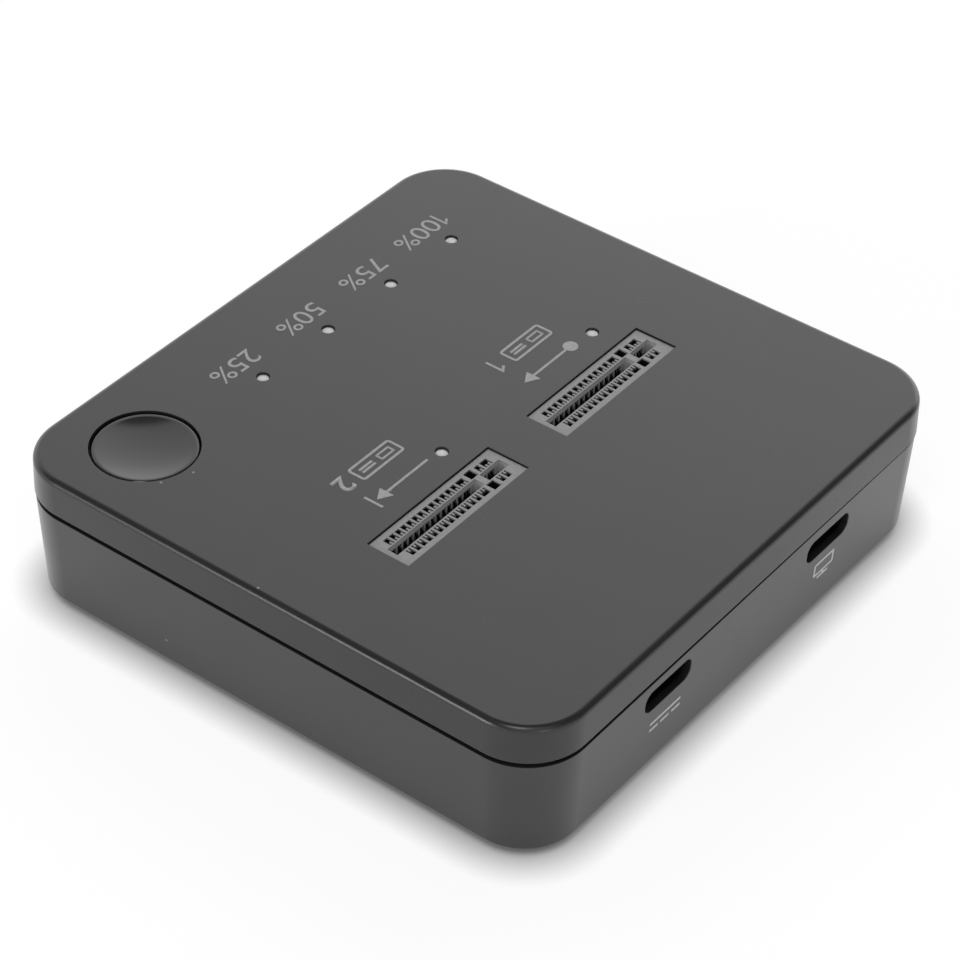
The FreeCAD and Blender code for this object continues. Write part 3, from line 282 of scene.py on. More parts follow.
def arc(centre, radius, start, end, steps):
    """Points of a circular arc as (radius, height) pairs; angles in degrees from the horizontal."""
    points = []
    for i in range(steps + 1):
        angle = math.radians(start + (end - start) * i / steps)
        points.append((centre[0] + radius * math.cos(angle), centre[1] + radius * math.sin(angle)))
    return points


def rounded_bar(name, section, x, z, front, rear):
    """A bar along Y, for cutting a receptacle's mouth; section is (length, height, corner radius)."""
    bar = rounded_plate(name, *section, (0, 0, 0), steps=10)
    bar.rotation_euler = (math.radians(90), 0, 0)
    bar.location = (x, front, z)
    settle(bar)
    return thicken_plate(bar, rear - front, "Y")


# --- sizes read from the frame ----------------------------------------------------------------

case_low, case_high = cad_box
LIP_HEIGHT, SEAM_GAP, WALL = 1.6 * MM, 0.5 * MM, 2 * MM
SEAM_STEP, LIP_THICKNESS, LIP_CLEARANCE = 0.1 * MM, 1 * MM, 0.15 * MM
INK = 0.02 * MM
TOP = case_high.z - INK                # the ink stands this much proud of the roof
ROOF = case_high.z - WALL              # the underside of the roof
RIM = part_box("bottom_shell")[1].z - LIP_HEIGHT
SKIRT = RIM + SEAM_GAP
SHELL_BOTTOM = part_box("bottom_shell")[0].z
BOARD_BOTTOM, BOARD_TOP = (corner.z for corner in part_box("main_board"))
LENGTH = case_high.x - case_low.x
WIDTH = case_high.y - case_low.y
CORNER = 7.8 * MM
SHELL_DRAFT, COVER_DRAFT = math.tan(math.radians(2.8)), math.tan(math.radians(1.2))
SEAM_TILT = math.radians(-0.38)        # the halves don't close quite evenly, so the seam widens
LEVEL_PLACE = 10.6 * MM                # the seam has its gap of SEAM_GAP at this distance from the middle


def middle_of(node):
    low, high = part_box(node)
    return (low + high) / 2


BAYS = ("source", "target")
PORTS = ("data", "power")
LAMP_PITCH = 12.04 * MM
lamp_row = middle_of("progress_light_guide")
PROGRESS_LAMPS = [(lamp_row.x + (i - 1.5) * LAMP_PITCH, lamp_row.y) for i in range(4)]
STATUS_LAMPS = [tuple(middle_of(f"status_light_guide_{bay}").xy) for bay in BAYS]
BUTTON_X, BUTTON_Y = middle_of("switch_body").xy
PORT_HALF_HEIGHT = 1.63 * MM
PORT_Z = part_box("usb_c_shell_data")[1].z - PORT_HALF_HEIGHT
REAR_FACE = WIDTH / 2 - SEAM_STEP - SHELL_DRAFT * (RIM - PORT_Z)
PORT_MOUTH = REAR_FACE - 0.9 * MM
PORT_OPENING = (8.7 * MM, 3 * MM, 1.25 * MM)
PORT_POCKET = (9.44 * MM, 3.76 * MM, 1.53 * MM)
screw_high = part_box("case_screws")[1]
SCREW_HEAD_RADIUS, SCREW_RADIUS = 2.3 * MM, 1.3 * MM
SCREWS = [
    (side_x * (screw_high.x - SCREW_HEAD_RADIUS), side_y * (screw_high.y - SCREW_HEAD_RADIUS))
    for side_x in (-1, 1)
    for side_y in (-1, 1)
]
SCREW_SEAT = SHELL_BOTTOM + 3 * MM
HEAD_BORE, SHANK_BORE = 2.5 * MM, 1.5 * MM
BROKEN_EDGE = 0.1 * MM                 # the faint round on the edges along the seam


# --- case mouldings ---------------------------------------------------------------------------

EDGE_ROLL, OPENING_EDGE = 0.85 * MM, 0.07 * MM
SOCKET_GAP = 0.1 * MM
LAMP_HOLE, BUTTON_HOLE = 0.825 * MM, 6.5 * MM
PAST = MM                              # how far a cutter reaches past what it cuts


def make_cover():
    """The roof with its drafted skirt, rolled top edge, rebate, openings and fittings."""
    cover = rounded_plate("cover_moulding", LENGTH, WIDTH, CORNER, (0, 0, SKIRT), steps=20)
    open_up(cover)
    bpy.ops.mesh.select_all(action="SELECT")
    height = TOP - SKIRT
    bpy.ops.mesh.inset(thickness=height * COVER_DRAFT, use_even_offset=True)
    bpy.ops.transform.translate(value=(0, 0, height))
    close_outline(cover)
    break_edges(cover, lambda edge: at_level(edge, TOP), EDGE_ROLL, 8)
    # the underside: a rebate for the shell's lip, then the hollow
    rebate = SEAM_STEP + WALL - LIP_THICKNESS - LIP_CLEARANCE
    rebate_top = RIM + LIP_HEIGHT + LIP_CLEARANCE
    choose_faces(cover, lambda middle, normal: normal.z < -0.9 and same_height(middle.z, SKIRT))
    bpy.ops.mesh.inset(thickness=rebate, use_even_offset=True)
    draw_out(rebate_top - SKIRT)
    bpy.ops.mesh.inset(thickness=WALL - rebate, use_even_offset=True)
    draw_out(ROOF - rebate_top)
    break_edges(
        cover, lambda edge: at_level(edge, SKIRT) and is_crease(edge) and meets_outer_wall(edge, 1),
        BROKEN_EDGE, 2,
    )
    close_up()

    cutters = []
    for bay in BAYS:
        low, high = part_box(f"m2_socket_{bay}")
        cutters.append(block(
            "socket_cutter", (low.x - SOCKET_GAP, low.y - SOCKET_GAP, ROOF - PAST),
            (high.x + SOCKET_GAP, high.y + SOCKET_GAP, TOP + PAST),
        ))
    for x, y in PROGRESS_LAMPS + STATUS_LAMPS:
        cutters.append(rod("lamp_cutter", x, y, ROOF - PAST, TOP + PAST, LAMP_HOLE))
    cutters.append(rod("button_cutter", BUTTON_X, BUTTON_Y, ROOF - PAST, TOP + PAST, BUTTON_HOLE, sides=96))
    cut_away(cover, *cutters)
    open_up(cover, "EDGE")
    break_edges(cover, lambda edge: at_level(edge, TOP) and is_crease(edge), OPENING_EDGE, 2)
    close_up()
    joined(cover, make_collar(), *make_rings(), *make_bosses(), *make_rivets(), *make_hooks())
    smooth(cover)
    return cover


BURIED = 0.5 * MM                      # how far a fitting reaches into the wall that carries it
COLLAR_RADIUS, COLLAR_BORE, COLLAR_DEPTH = 8.6 * MM, 7.4 * MM, 2.6 * MM
GROOVE_REACH, GROOVE_WIDTH = 8.2 * MM, 1.9 * MM
GUIDE_FLANGE = 1.4 * MM                # thickness of the light guides under the roof
RING_RADIUS, RING_BORE = 2.9 * MM, 1.9 * MM
BOSS_RADIUS, BOSS_BORE_DEPTH = 3 * MM, 6.2 * MM
RIVET_RADIUS, RIVET_HEAD = 0.8 * MM, 0.5 * MM
HOOKS = ((15 * MM, -1), (-15 * MM, -1), (28 * MM, 1), (-28 * MM, 1))
HOOK_WIDTH, HOOK_THICKNESS, HOOK_REACH = 6 * MM, 1.2 * MM, 4.2 * MM
HOOK_CLEARANCE = 0.25 * MM
BARB_HEIGHT, BARB_DEPTH = 0.7 * MM, 0.5 * MM


def make_collar():
    """The ring that guides the button, with grooves for its two lugs."""
    collar = rod(
        "collar", BUTTON_X, BUTTON_Y, ROOF - COLLAR_DEPTH, ROOF + BURIED, COLLAR_RADIUS, sides=96
    )
    low, high = ROOF - COLLAR_DEPTH - PAST, ROOF + PAST
    cut_away(
        collar,
        rod("collar_bore", BUTTON_X, BUTTON_Y, low, high, COLLAR_BORE, sides=96),
        block(
            "lug_grooves", (BUTTON_X - GROOVE_REACH, BUTTON_Y - GROOVE_WIDTH / 2, low),
            (BUTTON_X + GROOVE_REACH, BUTTON_Y + GROOVE_WIDTH / 2, high),
        ),
    )
    return collar


def make_rings():
    """The rings that the status guides' flanges sit in."""
    rings = []
    for x, y in STATUS_LAMPS:
        ring = rod("guide_ring", x, y, ROOF - GUIDE_FLANGE, ROOF + BURIED, RING_RADIUS)
        cut_away(ring, rod("ring_bore", x, y, ROOF - GUIDE_FLANGE - PAST, ROOF + PAST, RING_BORE))
        rings.append(ring)
    return rings


def make_bosses():
    """The bosses that the case screws bite into."""
    bosses = []
    for x, y in SCREWS:
        boss = rod("screw_boss", x, y, BOARD_TOP, ROOF + BURIED, BOSS_RADIUS)
        cut_away(boss, rod("boss_bore", x, y, BOARD_TOP - PAST, BOARD_TOP + BOSS_BORE_DEPTH, SCREW_RADIUS))
        bosses.append(boss)
    return bosses


def make_rivets():
    """The two headed pins that hold the progress light guide."""
    root, seat = ROOF + 0.3 * MM, ROOF - GUIDE_FLANGE
    profile = [
        (0, root), (RIVET_RADIUS, root), (RIVET_RADIUS, seat), (RIVET_RADIUS + RIVET_HEAD, seat),
        (RIVET_RADIUS + 0.3 * MM, seat - 0.35 * MM), (RIVET_RADIUS - 0.2 * MM, seat - RIVET_HEAD),
        (0, seat - RIVET_HEAD),
    ]
    return [
        turned("guide_rivet", profile, lamp_row.x + side * LAMP_PITCH, lamp_row.y, steps=24)
        for side in (-1, 1)
    ]


def make_hooks():
    """The snap hooks inside the front and rear walls, each with its barb."""
    hooks = []
    for x, side in HOOKS:
        face = side * (WIDTH / 2 - SEAM_STEP - WALL - HOOK_CLEARANCE)
        inner, tip = face - side * HOOK_THICKNESS, face + side * BARB_DEPTH
        left, right = x - HOOK_WIDTH / 2, x + HOOK_WIDTH / 2
        barb_top = RIM - 3 * MM
        hooks.append(block(
            "snap_hook", (left, min(face, inner), RIM - HOOK_REACH), (right, max(face, inner), ROOF + BURIED)
        ))
        hooks.append(block(
            "snap_barb", (left, min(face, tip), barb_top - BARB_HEIGHT), (right, max(face, tip), barb_top)
        ))
    return hooks


SHELL_ROLL, MOUTH_EDGE = MM, 0.12 * MM
POCKET_DEPTH = 2.6 * MM                # the room for a receptacle's shell, inwards from its mouth
FOOT_RADIUS, FOOT_RECESS = 4 * MM, 4.1 * MM
POST_RADIUS, SUPPORT_RADIUS = 3.5 * MM, 2.5 * MM
SUPPORT_SET_BACK = 6.45 * MM           # from a receptacle's mouth to the middle of the support below it


def make_shell():
    """The drafted tub with its lip, receptacle mouths, posts, foot recesses and screw holes."""
    length, width = LENGTH - 2 * SEAM_STEP, WIDTH - 2 * SEAM_STEP
    shell = rounded_plate("shell_moulding", length, width, CORNER - SEAM_STEP, (0, 0, RIM), steps=20)
    open_up(shell)
    bpy.ops.mesh.select_all(action="SELECT")
    height = RIM - SHELL_BOTTOM
    bpy.ops.mesh.inset(thickness=height * SHELL_DRAFT, use_even_offset=True)
    bpy.ops.transform.translate(value=(0, 0, -height))
    close_outline(shell)
    break_edges(shell, lambda edge: at_level(edge, SHELL_BOTTOM), SHELL_ROLL, 8)
    # the rim, the lip on its inner edge and the hollow
    choose_faces(shell, lambda middle, normal: normal.z > 0.9 and same_height(middle.z, RIM))
    bpy.ops.mesh.inset(thickness=WALL - LIP_THICKNESS, use_even_offset=True)
    draw_out(LIP_HEIGHT)
    bpy.ops.mesh.inset(thickness=LIP_THICKNESS, use_even_offset=True)
    draw_out(-LIP_HEIGHT)
    depth = RIM - SHELL_BOTTOM - WALL
    draw_out(-depth)
    inner_length, inner_width = length - 2 * WALL, width - 2 * WALL
    bpy.ops.transform.resize(
        value=(1 - 2 * depth * SHELL_DRAFT / inner_length, 1 - 2 * depth * SHELL_DRAFT / inner_width, 1),
        center_override=(0, 0, SHELL_BOTTOM + WALL),
    )
    break_edges(
        shell, lambda edge: at_level(edge, RIM) and is_crease(edge) and meets_outer_wall(edge, -1),
        BROKEN_EDGE, 2,
    )
    # the seam is wider towards the button
    choose_faces(shell, lambda middle, normal: middle.z > RIM - 0.5 * MM)
    bpy.ops.transform.rotate(value=SEAM_TILT, orient_axis="Y", center_override=(LEVEL_PLACE, 0, RIM))
    close_up()

    cutters = []
    for port in PORTS:
        x = middle_of(f"usb_c_shell_{port}").x
        cutters.append(rounded_bar(
            "pocket_cutter", PORT_POCKET, x, PORT_Z, PORT_MOUTH - POCKET_DEPTH, PORT_MOUTH
        ))
        cutters.append(rounded_bar(
            "mouth_cutter", PORT_OPENING, x, PORT_Z, PORT_MOUTH - PAST, REAR_FACE + PAST
        ))
    for end in ("front", "rear"):
        for hand in ("left", "right"):
            place = middle_of(f"foot_{end}_{hand}")
            cutters.append(rod(
                "foot_cutter", place.x, place.y, SHELL_BOTTOM - PAST, SHELL_BOTTOM + MM, FOOT_RECESS, sides=64
            ))
    posts = []
    for x, y in SCREWS:
        cutters.append(rod("head_cutter", x, y, SHELL_BOTTOM - PAST, SCREW_SEAT, HEAD_BORE, sides=48))
        cutters.append(rod("shank_cutter", x, y, SHELL_BOTTOM - PAST, SCREW_SEAT + 2 * PAST, SHANK_BORE))
        post = rod("screw_post", x, y, SHELL_BOTTOM + BURIED, BOARD_BOTTOM, POST_RADIUS)
        cut_away(
            post,
            rod("head_room", x, y, SHELL_BOTTOM, SCREW_SEAT, HEAD_BORE, sides=48),
            rod("shank_room", x, y, SHELL_BOTTOM, BOARD_BOTTOM + PAST, SHANK_BORE),
        )
        posts.append(post)
    cut_away(shell, *cutters)
    open_up(shell, "EDGE")
    break_edges(
        shell, lambda edge: is_crease(edge) and (in_a_mouth(edge) or at_level(edge, SHELL_BOTTOM)),
        MOUTH_EDGE, 3,
    )
    close_up()

    places = [middle_of(f"m2_socket_{bay}").xy for bay in BAYS]
    places += [
        Vector((middle_of(f"usb_c_shell_{port}").x, PORT_MOUTH - SUPPORT_SET_BACK)) for port in PORTS
    ]
    places += [Vector((BUTTON_X, BUTTON_Y)), Vector((-BUTTON_X, BUTTON_Y))]
    floor = SHELL_BOTTOM + WALL - BURIED
    posts += [rod("board_support", *place, floor, BOARD_BOTTOM, SUPPORT_RADIUS) for place in places]
    joined(shell, *posts)
    smooth(shell)
    return shell


def in_a_mouth(edge):
    """True for the edges that a receptacle's mouth has in the outer face of the wall."""
    return all(
        abs(vertex.co.z - PORT_Z) < PORT_HALF_HEIGHT and vertex.co.y > PORT_MOUTH + 0.5 * MM
        for vertex in edge.verts
    )


def make_foot(name, place):
    """A rubber pad with a rolled edge and a shallow hollow moulded in its sole."""
    roll, hollow, height = 0.3 * MM, 0.12 * MM, 1.6 * MM
    hollow_radius, slope, sole_middle = 1.1 * MM, 0.15 * MM, 2.5 * MM
    profile = [(0, hollow), (hollow_radius, hollow), (hollow_radius + slope, 0), (sole_middle, 0)]
    profile += arc((FOOT_RADIUS - roll, roll), roll, -90, 0, 5)
    profile += [(FOOT_RADIUS, height), (0, height)]
    foot = turned(name, profile, place.x, place.y, steps=64)
    smooth(foot)
    return foot


def make_screws():
    """Four pan-head screws with a cross recess."""
    head_height, roll, point = 1.7 * MM, 0.6 * MM, 0.5 * MM
    cross_reach, cross_width, cross_depth = 1.2 * MM, 0.5 * MM, MM
    low, tip = SCREW_SEAT - head_height, screw_high.z
    profile = [(0, low), (SCREW_HEAD_RADIUS - roll, low)]
    profile += arc((SCREW_HEAD_RADIUS - roll, low + roll), roll, -75, 0, 5)
    profile += [
        (SCREW_HEAD_RADIUS, SCREW_SEAT), (SCREW_RADIUS, SCREW_SEAT), (SCREW_RADIUS, tip - roll),
        (point, tip), (0, tip),
    ]
    screws = []
    for x, y in SCREWS:
        screw = turned("screw", profile, x, y, steps=40)
        for along, across in ((cross_reach, cross_width / 2), (cross_width / 2, cross_reach)):
            cut_away(screw, block(
                "cross_cutter", (x - along, y - across, low - PAST),
                (x + along, y + across, low + cross_depth),
            ))
        screws.append(screw)
    joined(screws[0], *screws[1:])
    screws[0].name = "pan_head_screws"
    smooth(screws[0])
    return screws[0]


# --- button and light guides ------------------------------------------------------------------

BUTTON_RADIUS, STEM_RADIUS = 6.28 * MM, 1.6 * MM
BUTTON_TOP = TOP - 0.12 * MM
BUTTON_PLAY = (0.02 * MM, 0.08 * MM)   # the cap rests off the middle of its hole
LUG_NEAR, LUG_FAR, LUG_WIDTH = 6.5 * MM, 8.03 * MM, 1.6 * MM


def make_button():
    """The dished cap with a soft rim, its flange, lugs and stem."""
    margin, rim, dish = 0.4 * MM, 0.3 * MM, 0.55 * MM
    reach = BUTTON_RADIUS - margin
    bend = (reach * reach + dish * dish) / (2 * dish)
    lean = math.degrees(math.asin(reach / bend))
    profile = [(0, BUTTON_TOP - dish)]
    profile += arc((0, BUTTON_TOP - dish + bend), bend, -90, -90 + lean, 24)[1:]
    profile += arc((BUTTON_RADIUS - rim, BUTTON_TOP - rim), rim, 80, 0, 6)
    flange_top = ROOF - 0.1 * MM
    flange_low = flange_top - 0.7 * MM
    flange_radius, hollow_radius = BUTTON_RADIUS + 0.9 * MM, BUTTON_RADIUS - 1.1 * MM
    stem_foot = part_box("start_button")[0].z
    ceiling = BUTTON_TOP - 1.55 * MM
    profile += [
        (BUTTON_RADIUS, flange_top), (flange_radius, flange_top), (flange_radius, flange_low),
        (hollow_radius, flange_low), (hollow_radius, ceiling), (STEM_RADIUS, ceiling),
        (STEM_RADIUS, stem_foot), (0, stem_foot),
    ]
    cap = turned("button_cap", profile, BUTTON_X + BUTTON_PLAY[0], BUTTON_Y + BUTTON_PLAY[1], steps=96)
    lugs = []
    for side in (-1, 1):
        near, far = sorted((side * LUG_NEAR, side * LUG_FAR))
        lugs.append(block(
            "button_lug", (BUTTON_X + near, BUTTON_Y - LUG_WIDTH / 2, flange_low),
            (BUTTON_X + far, BUTTON_Y + LUG_WIDTH / 2, flange_top),
        ))
    joined(cap, *lugs)
    smooth(cap, degrees=35)
    return cap


GUIDE_TOP = TOP - 0.2 * MM
GUIDE_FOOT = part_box("status_light_guide_source")[0].z
PIN_RADIUS, PIN_FOOT_RADIUS, STATUS_FLANGE_RADIUS = 0.77 * MM, 1.1 * MM, 1.8 * MM
PIN_CROWN = (                          # how far the end falls off at each radius
    (0, 0), (0.35 * MM, 0.015 * MM), (0.6 * MM, 0.04 * MM), (0.72 * MM, 0.08 * MM),
    (PIN_RADIUS, 0.16 * MM),
)


def guide_pin(name, x, y, flange):
    """A clear pin with a faintly crowned end and a flange under the roof."""
    seat = ROOF - GUIDE_FLANGE
    profile = [(radius, GUIDE_TOP - fall) for radius, fall in PIN_CROWN]
    profile += [
        (PIN_RADIUS, ROOF), (flange, ROOF), (flange, seat), (PIN_FOOT_RADIUS, seat),
        (PIN_FOOT_RADIUS, GUIDE_FOOT), (0, GUIDE_FOOT),
    ]
    return turned(name, profile, x, y, steps=32)


def make_progress_guide():
    """Four pins on one clear bar."""
    low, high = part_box("progress_light_guide")
    bar = block("progress_guide_moulding", (low.x, low.y, ROOF - GUIDE_FLANGE), (high.x, high.y, ROOF))
    open_up(bar, "EDGE")
    break_edges(bar, lambda edge: abs(edge.verts[0].co.z - edge.verts[1].co.z) > MM, 0.5 * MM, 4)
    close_up()
    for side in (-1, 1):
        cut_away(bar, rod(
            "rivet_cutter", lamp_row.x + side * LAMP_PITCH, lamp_row.y,
            ROOF - GUIDE_FLANGE - PAST, ROOF + PAST, RIVET_RADIUS + 0.1 * MM,
        ))
    pins = [guide_pin("pin", x, y, PIN_FOOT_RADIUS) for x, y in PROGRESS_LAMPS]
    joined(bar, *pins)
    smooth(bar)
    return bar


def make_dome():
    """The switch's snap dome: a thin shallow spring cap."""
    low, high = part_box("switch_dome")
    reach, rise, sheet = (high.x - low.x) / 2, high.z - low.z, 0.1 * MM
    shares = [k / 8 for k in range(9)]
    outside = [(reach * share, low.z + rise * (1 - share ** 2)) for share in shares]
    hollow, ceiling = reach - 2 * sheet, rise - sheet
    inside = [(hollow * share, low.z + ceiling * (1 - share ** 2)) for share in reversed(shares)]
    dome = turned("snap_dome", outside + inside, BUTTON_X, BUTTON_Y, steps=40)
    smooth(dome)
    return dome


# --- printed marks ----------------------------------------------------------------------------

def laid_text(name, words, left, right, low, high, swell=0.0):
    """Numerals stretched to fill a box on the roof, read from the front; swell makes them bolder."""
    let_go()
    bpy.ops.object.text_add(location=(0, 0, 0))
    text = bpy.context.object
    text.name = name
    text.data.body = words
    text.data.resolution_u = 4
    text.data.offset = swell
    bpy.ops.object.convert(target="MESH")
    fill_box(text, left, right, low, high)
    return raise_ink(text)


def printed(name, *drawings):
    """Raise each drawing by itself and make one mark of them."""
    mark = joined(*[raise_ink(drawing) for drawing in drawings])
    mark.name = name
    return mark


def fill_box(piece, left, right, low, high):
    """Scale and shift a flat drawing to fill a box in X and Y."""
    xs = [vertex.co.x for vertex in piece.data.vertices]
    ys = [vertex.co.y for vertex in piece.data.vertices]
    scale_x = (right - left) / (max(xs) - min(xs))
    scale_y = (high - low) / (max(ys) - min(ys))
    piece.scale = (scale_x, scale_y, 1)
    piece.location = (left - min(xs) * scale_x, low - min(ys) * scale_y, TOP)
    settle(piece)


def raise_ink(piece):
    """Give a flat drawing the thickness of a layer of ink."""
    open_up(piece)
    bpy.ops.mesh.select_all(action="SELECT")
    bpy.ops.mesh.remove_doubles(threshold=0.001 * MM)
    draw_out(INK)
    face_outwards()
    close_up()
    return piece


def laid_one(name, right, low, high, weight):
    """The numeral one: a stem with a flag that slopes down from its head."""
    stem = flat_stroke(name, right - weight / 2, low, right - weight / 2, high, weight)
    root = right - weight
    flag = flat_stroke("flag", root - 0.72 * MM, high - 0.78 * MM, root, high - 0.3 * MM, weight)
    return printed(name, stem, flag)


def flat_stroke(name, x0, y0, x1, y1, weight):
    """A straight printed line on the roof with square ends."""
    run = Vector((x1 - x0, y1 - y0))
    let_go()
    bpy.ops.mesh.primitive_plane_add(size=1, location=((x0 + x1) / 2, (y0 + y1) / 2, TOP))
    stroke = bpy.context.object
    stroke.name = name
    stroke.scale = (run.length, weight, 1)
    stroke.rotation_euler = (0, 0, math.atan2(run.y, run.x))
    settle(stroke)
    return stroke


def flat_outline(name, left, right, low, high, radius, weight):
    """A printed rounded rectangle, drawn as one line of even weight."""
    middle = ((left + right) / 2, (low + high) / 2, TOP)
    outline = rounded_plate(name, right - left, high - low, radius, middle, steps=5)
    open_up(outline)
    bpy.ops.mesh.select_all(action="SELECT")
    bpy.ops.mesh.inset(thickness=weight, use_even_offset=True)
    bpy.ops.mesh.delete(type="FACE")
    close_up()
    return outline


def flat_dot(name, x, y, radius):
    """A printed round dot."""
    let_go()
    bpy.ops.mesh.primitive_circle_add(vertices=24, radius=radius, fill_type="NGON", location=(x, y, TOP))
    dot = bpy.context.object
    dot.name = name
    settle(dot)
    return dot


def flat_head(name, x, y, size):
    """A printed arrow head that points to the right."""
    let_go()
    bpy.ops.mesh.primitive_circle_add(vertices=3, radius=size, fill_type="NGON", location=(x, y, TOP))
    head = bpy.context.object
    head.name = name
    head.rotation_euler = (0, 0, math.radians(-90))
    settle(head)
    return head


def stand_up(piece, x, z):
    """Turn a drawing that lies on the roof so that it stands on the rear wall, read from behind."""
    lean = math.radians(90) + math.atan(SHELL_DRAFT)
    wall = WIDTH / 2 - SEAM_STEP - SHELL_DRAFT * (RIM - z)
    piece.data.transform(Matrix.Translation((0, 0, -TOP)))
    piece.data.transform(Matrix.Rotation(math.pi, 4, "Z"))
    piece.data.transform(Matrix.Rotation(-lean, 4, "X"))
    piece.data.transform(Matrix.Translation((x, wall, z)))
    piece.data.update()
    return piece


ROOF_WEIGHT, SCALE_WEIGHT, WALL_WEIGHT = 0.34 * MM, 0.3 * MM, 0.32 * MM   # widths of the printed lines
SCALE_FOOT, SCALE_HEAD = -30.2 * MM, -27.45 * MM
HUNDRED_ONE = -28.1 * MM               # the right side of the hundred's one, which is drawn by itself
SCALE = (                              # each with its left and right side
    ("mark_100", "00%", -27.6 * MM, -20.5 * MM), ("mark_75", "75%", -16.7 * MM, -9.7 * MM),
    ("mark_50", "50%", -4.8 * MM, 2.1 * MM), ("mark_25", "25%", 7.2 * MM, 14.2 * MM),
)
BAY_MARKS_LEFT = {"source": -18.6 * MM, "target": 10.0 * MM}
BAY_MARKS_LENGTH = 10.4 * MM
FLOW_LINE, FLOW_DOT, FLOW_HEAD, FLOW_STOP = -0.4 * MM, 0.95 * MM, 1.2 * MM, 1.35 * MM
CARD_LOW, CARD_HIGH, CARD_SHORT = -6.3 * MM, -3.55 * MM, 2.9 * MM


def make_scale():
    """The percent scale in front of the progress lamps."""
    marks = []
    for name, words, left, right in SCALE:
        mark = laid_text("scale_text", words, left, right, SCALE_FOOT, SCALE_HEAD)
        if name == "mark_100":
            mark = joined(laid_one("scale_one", HUNDRED_ONE, SCALE_FOOT, SCALE_HEAD, SCALE_WEIGHT), mark)
        mark.name = name
        marks.append(mark)
    return marks


def flow_mark(bay, left, right):
    """An arrow that starts at a dot, for the source, or ends at a stop, for the target."""
    y = FLOW_LINE
    if bay == "source":
        return printed(
            "mark_source_flow",
            flat_dot("flow_dot", left + FLOW_DOT, y, FLOW_DOT),
            flat_stroke("flow_line", left + 2 * FLOW_DOT, y, right - 2.1 * MM, y, ROOF_WEIGHT),
            flat_head("flow_head", right - 1.5 * MM, y, FLOW_HEAD),
        )
    stop = right - 0.6 * MM
    return printed(
        "mark_target_flow",
        flat_stroke("flow_line", left, y, right - 3.0 * MM, y, ROOF_WEIGHT),
        flat_head("flow_head", right - 2.4 * MM, y, FLOW_HEAD),
        flat_stroke("flow_stop", stop, y - FLOW_STOP, stop, y + FLOW_STOP, ROOF_WEIGHT),
    )


def card_mark(bay, left, right):
    """A card with a chip and two lines on it, and the number of its socket."""
    chip_left, chip_right, chip_margin = left + 0.95 * MM, left + 3.3 * MM, 0.8 * MM
    line_left, line_right, line_margin = left + 4.2 * MM, left + 6.5 * MM, 1.1 * MM
    card = printed(
        f"mark_{bay}_card",
        flat_outline("card", left, right - CARD_SHORT, CARD_LOW, CARD_HIGH, 0.5 * MM, ROOF_WEIGHT),
        flat_outline("card_chip", chip_left, chip_right, CARD_LOW + chip_margin, CARD_HIGH - chip_margin,
                     0.15 * MM, ROOF_WEIGHT * 0.8),
        *[flat_stroke("card_line", line_left, y, line_right, y, ROOF_WEIGHT)
          for y in (CARD_LOW + line_margin, CARD_HIGH - line_margin)],
    )
    if bay == "source":
        number = laid_one("numeral", right - 0.3 * MM, CARD_LOW, CARD_HIGH, ROOF_WEIGHT)
    else:
        number = laid_text(
            "numeral", "2", right - 1.85 * MM, right + 0.1 * MM, CARD_LOW, CARD_HIGH, swell=0.015
        )
    return joined(card, number)


def make_roof_marks():
    """The progress scale, and a flow mark, a card and its number beside each socket."""
    marks = make_scale()
    for bay in BAYS:
        left = BAY_MARKS_LEFT[bay]
        right = left + BAY_MARKS_LENGTH
        marks += [flow_mark(bay, left, right), card_mark(bay, left, right)]
    return marks


def make_wall_marks():
    """Plain signs under the receptacles: direct current, and a screen on a foot."""
    reach, dash, pitch, apart = 2.9 * MM, 0.8 * MM, 2.1 * MM, 0.5 * MM
    current = printed(
        "mark_power_sign",
        flat_stroke("current", -reach, apart, reach, apart, WALL_WEIGHT),
        *[flat_stroke("dash", i * pitch - dash, -apart, i * pitch + dash, -apart, WALL_WEIGHT)
          for i in (-1, 0, 1)],
    )
    stand_up(current, middle_of("usb_c_shell_power").x, PORT_Z - 4.35 * MM)
    side, sill, head, sole, sole_reach = 2.1 * MM, -0.7 * MM, 1.3 * MM, -1.22 * MM, 1.1 * MM
    screen = printed(
        "mark_data_sign",
        flat_outline("screen", -side, side, sill, head, 0.25 * MM, WALL_WEIGHT),
        flat_stroke("neck", 0, -0.72 * MM, 0, -1.05 * MM, WALL_WEIGHT),
        flat_stroke("screen_foot", -sole_reach, sole, sole_reach, sole, WALL_WEIGHT),
    )
    stand_up(screen, middle_of("usb_c_shell_data").x, PORT_Z - 4.25 * MM)
    return [current, screen]


# --- finishes ---------------------------------------------------------------------------------

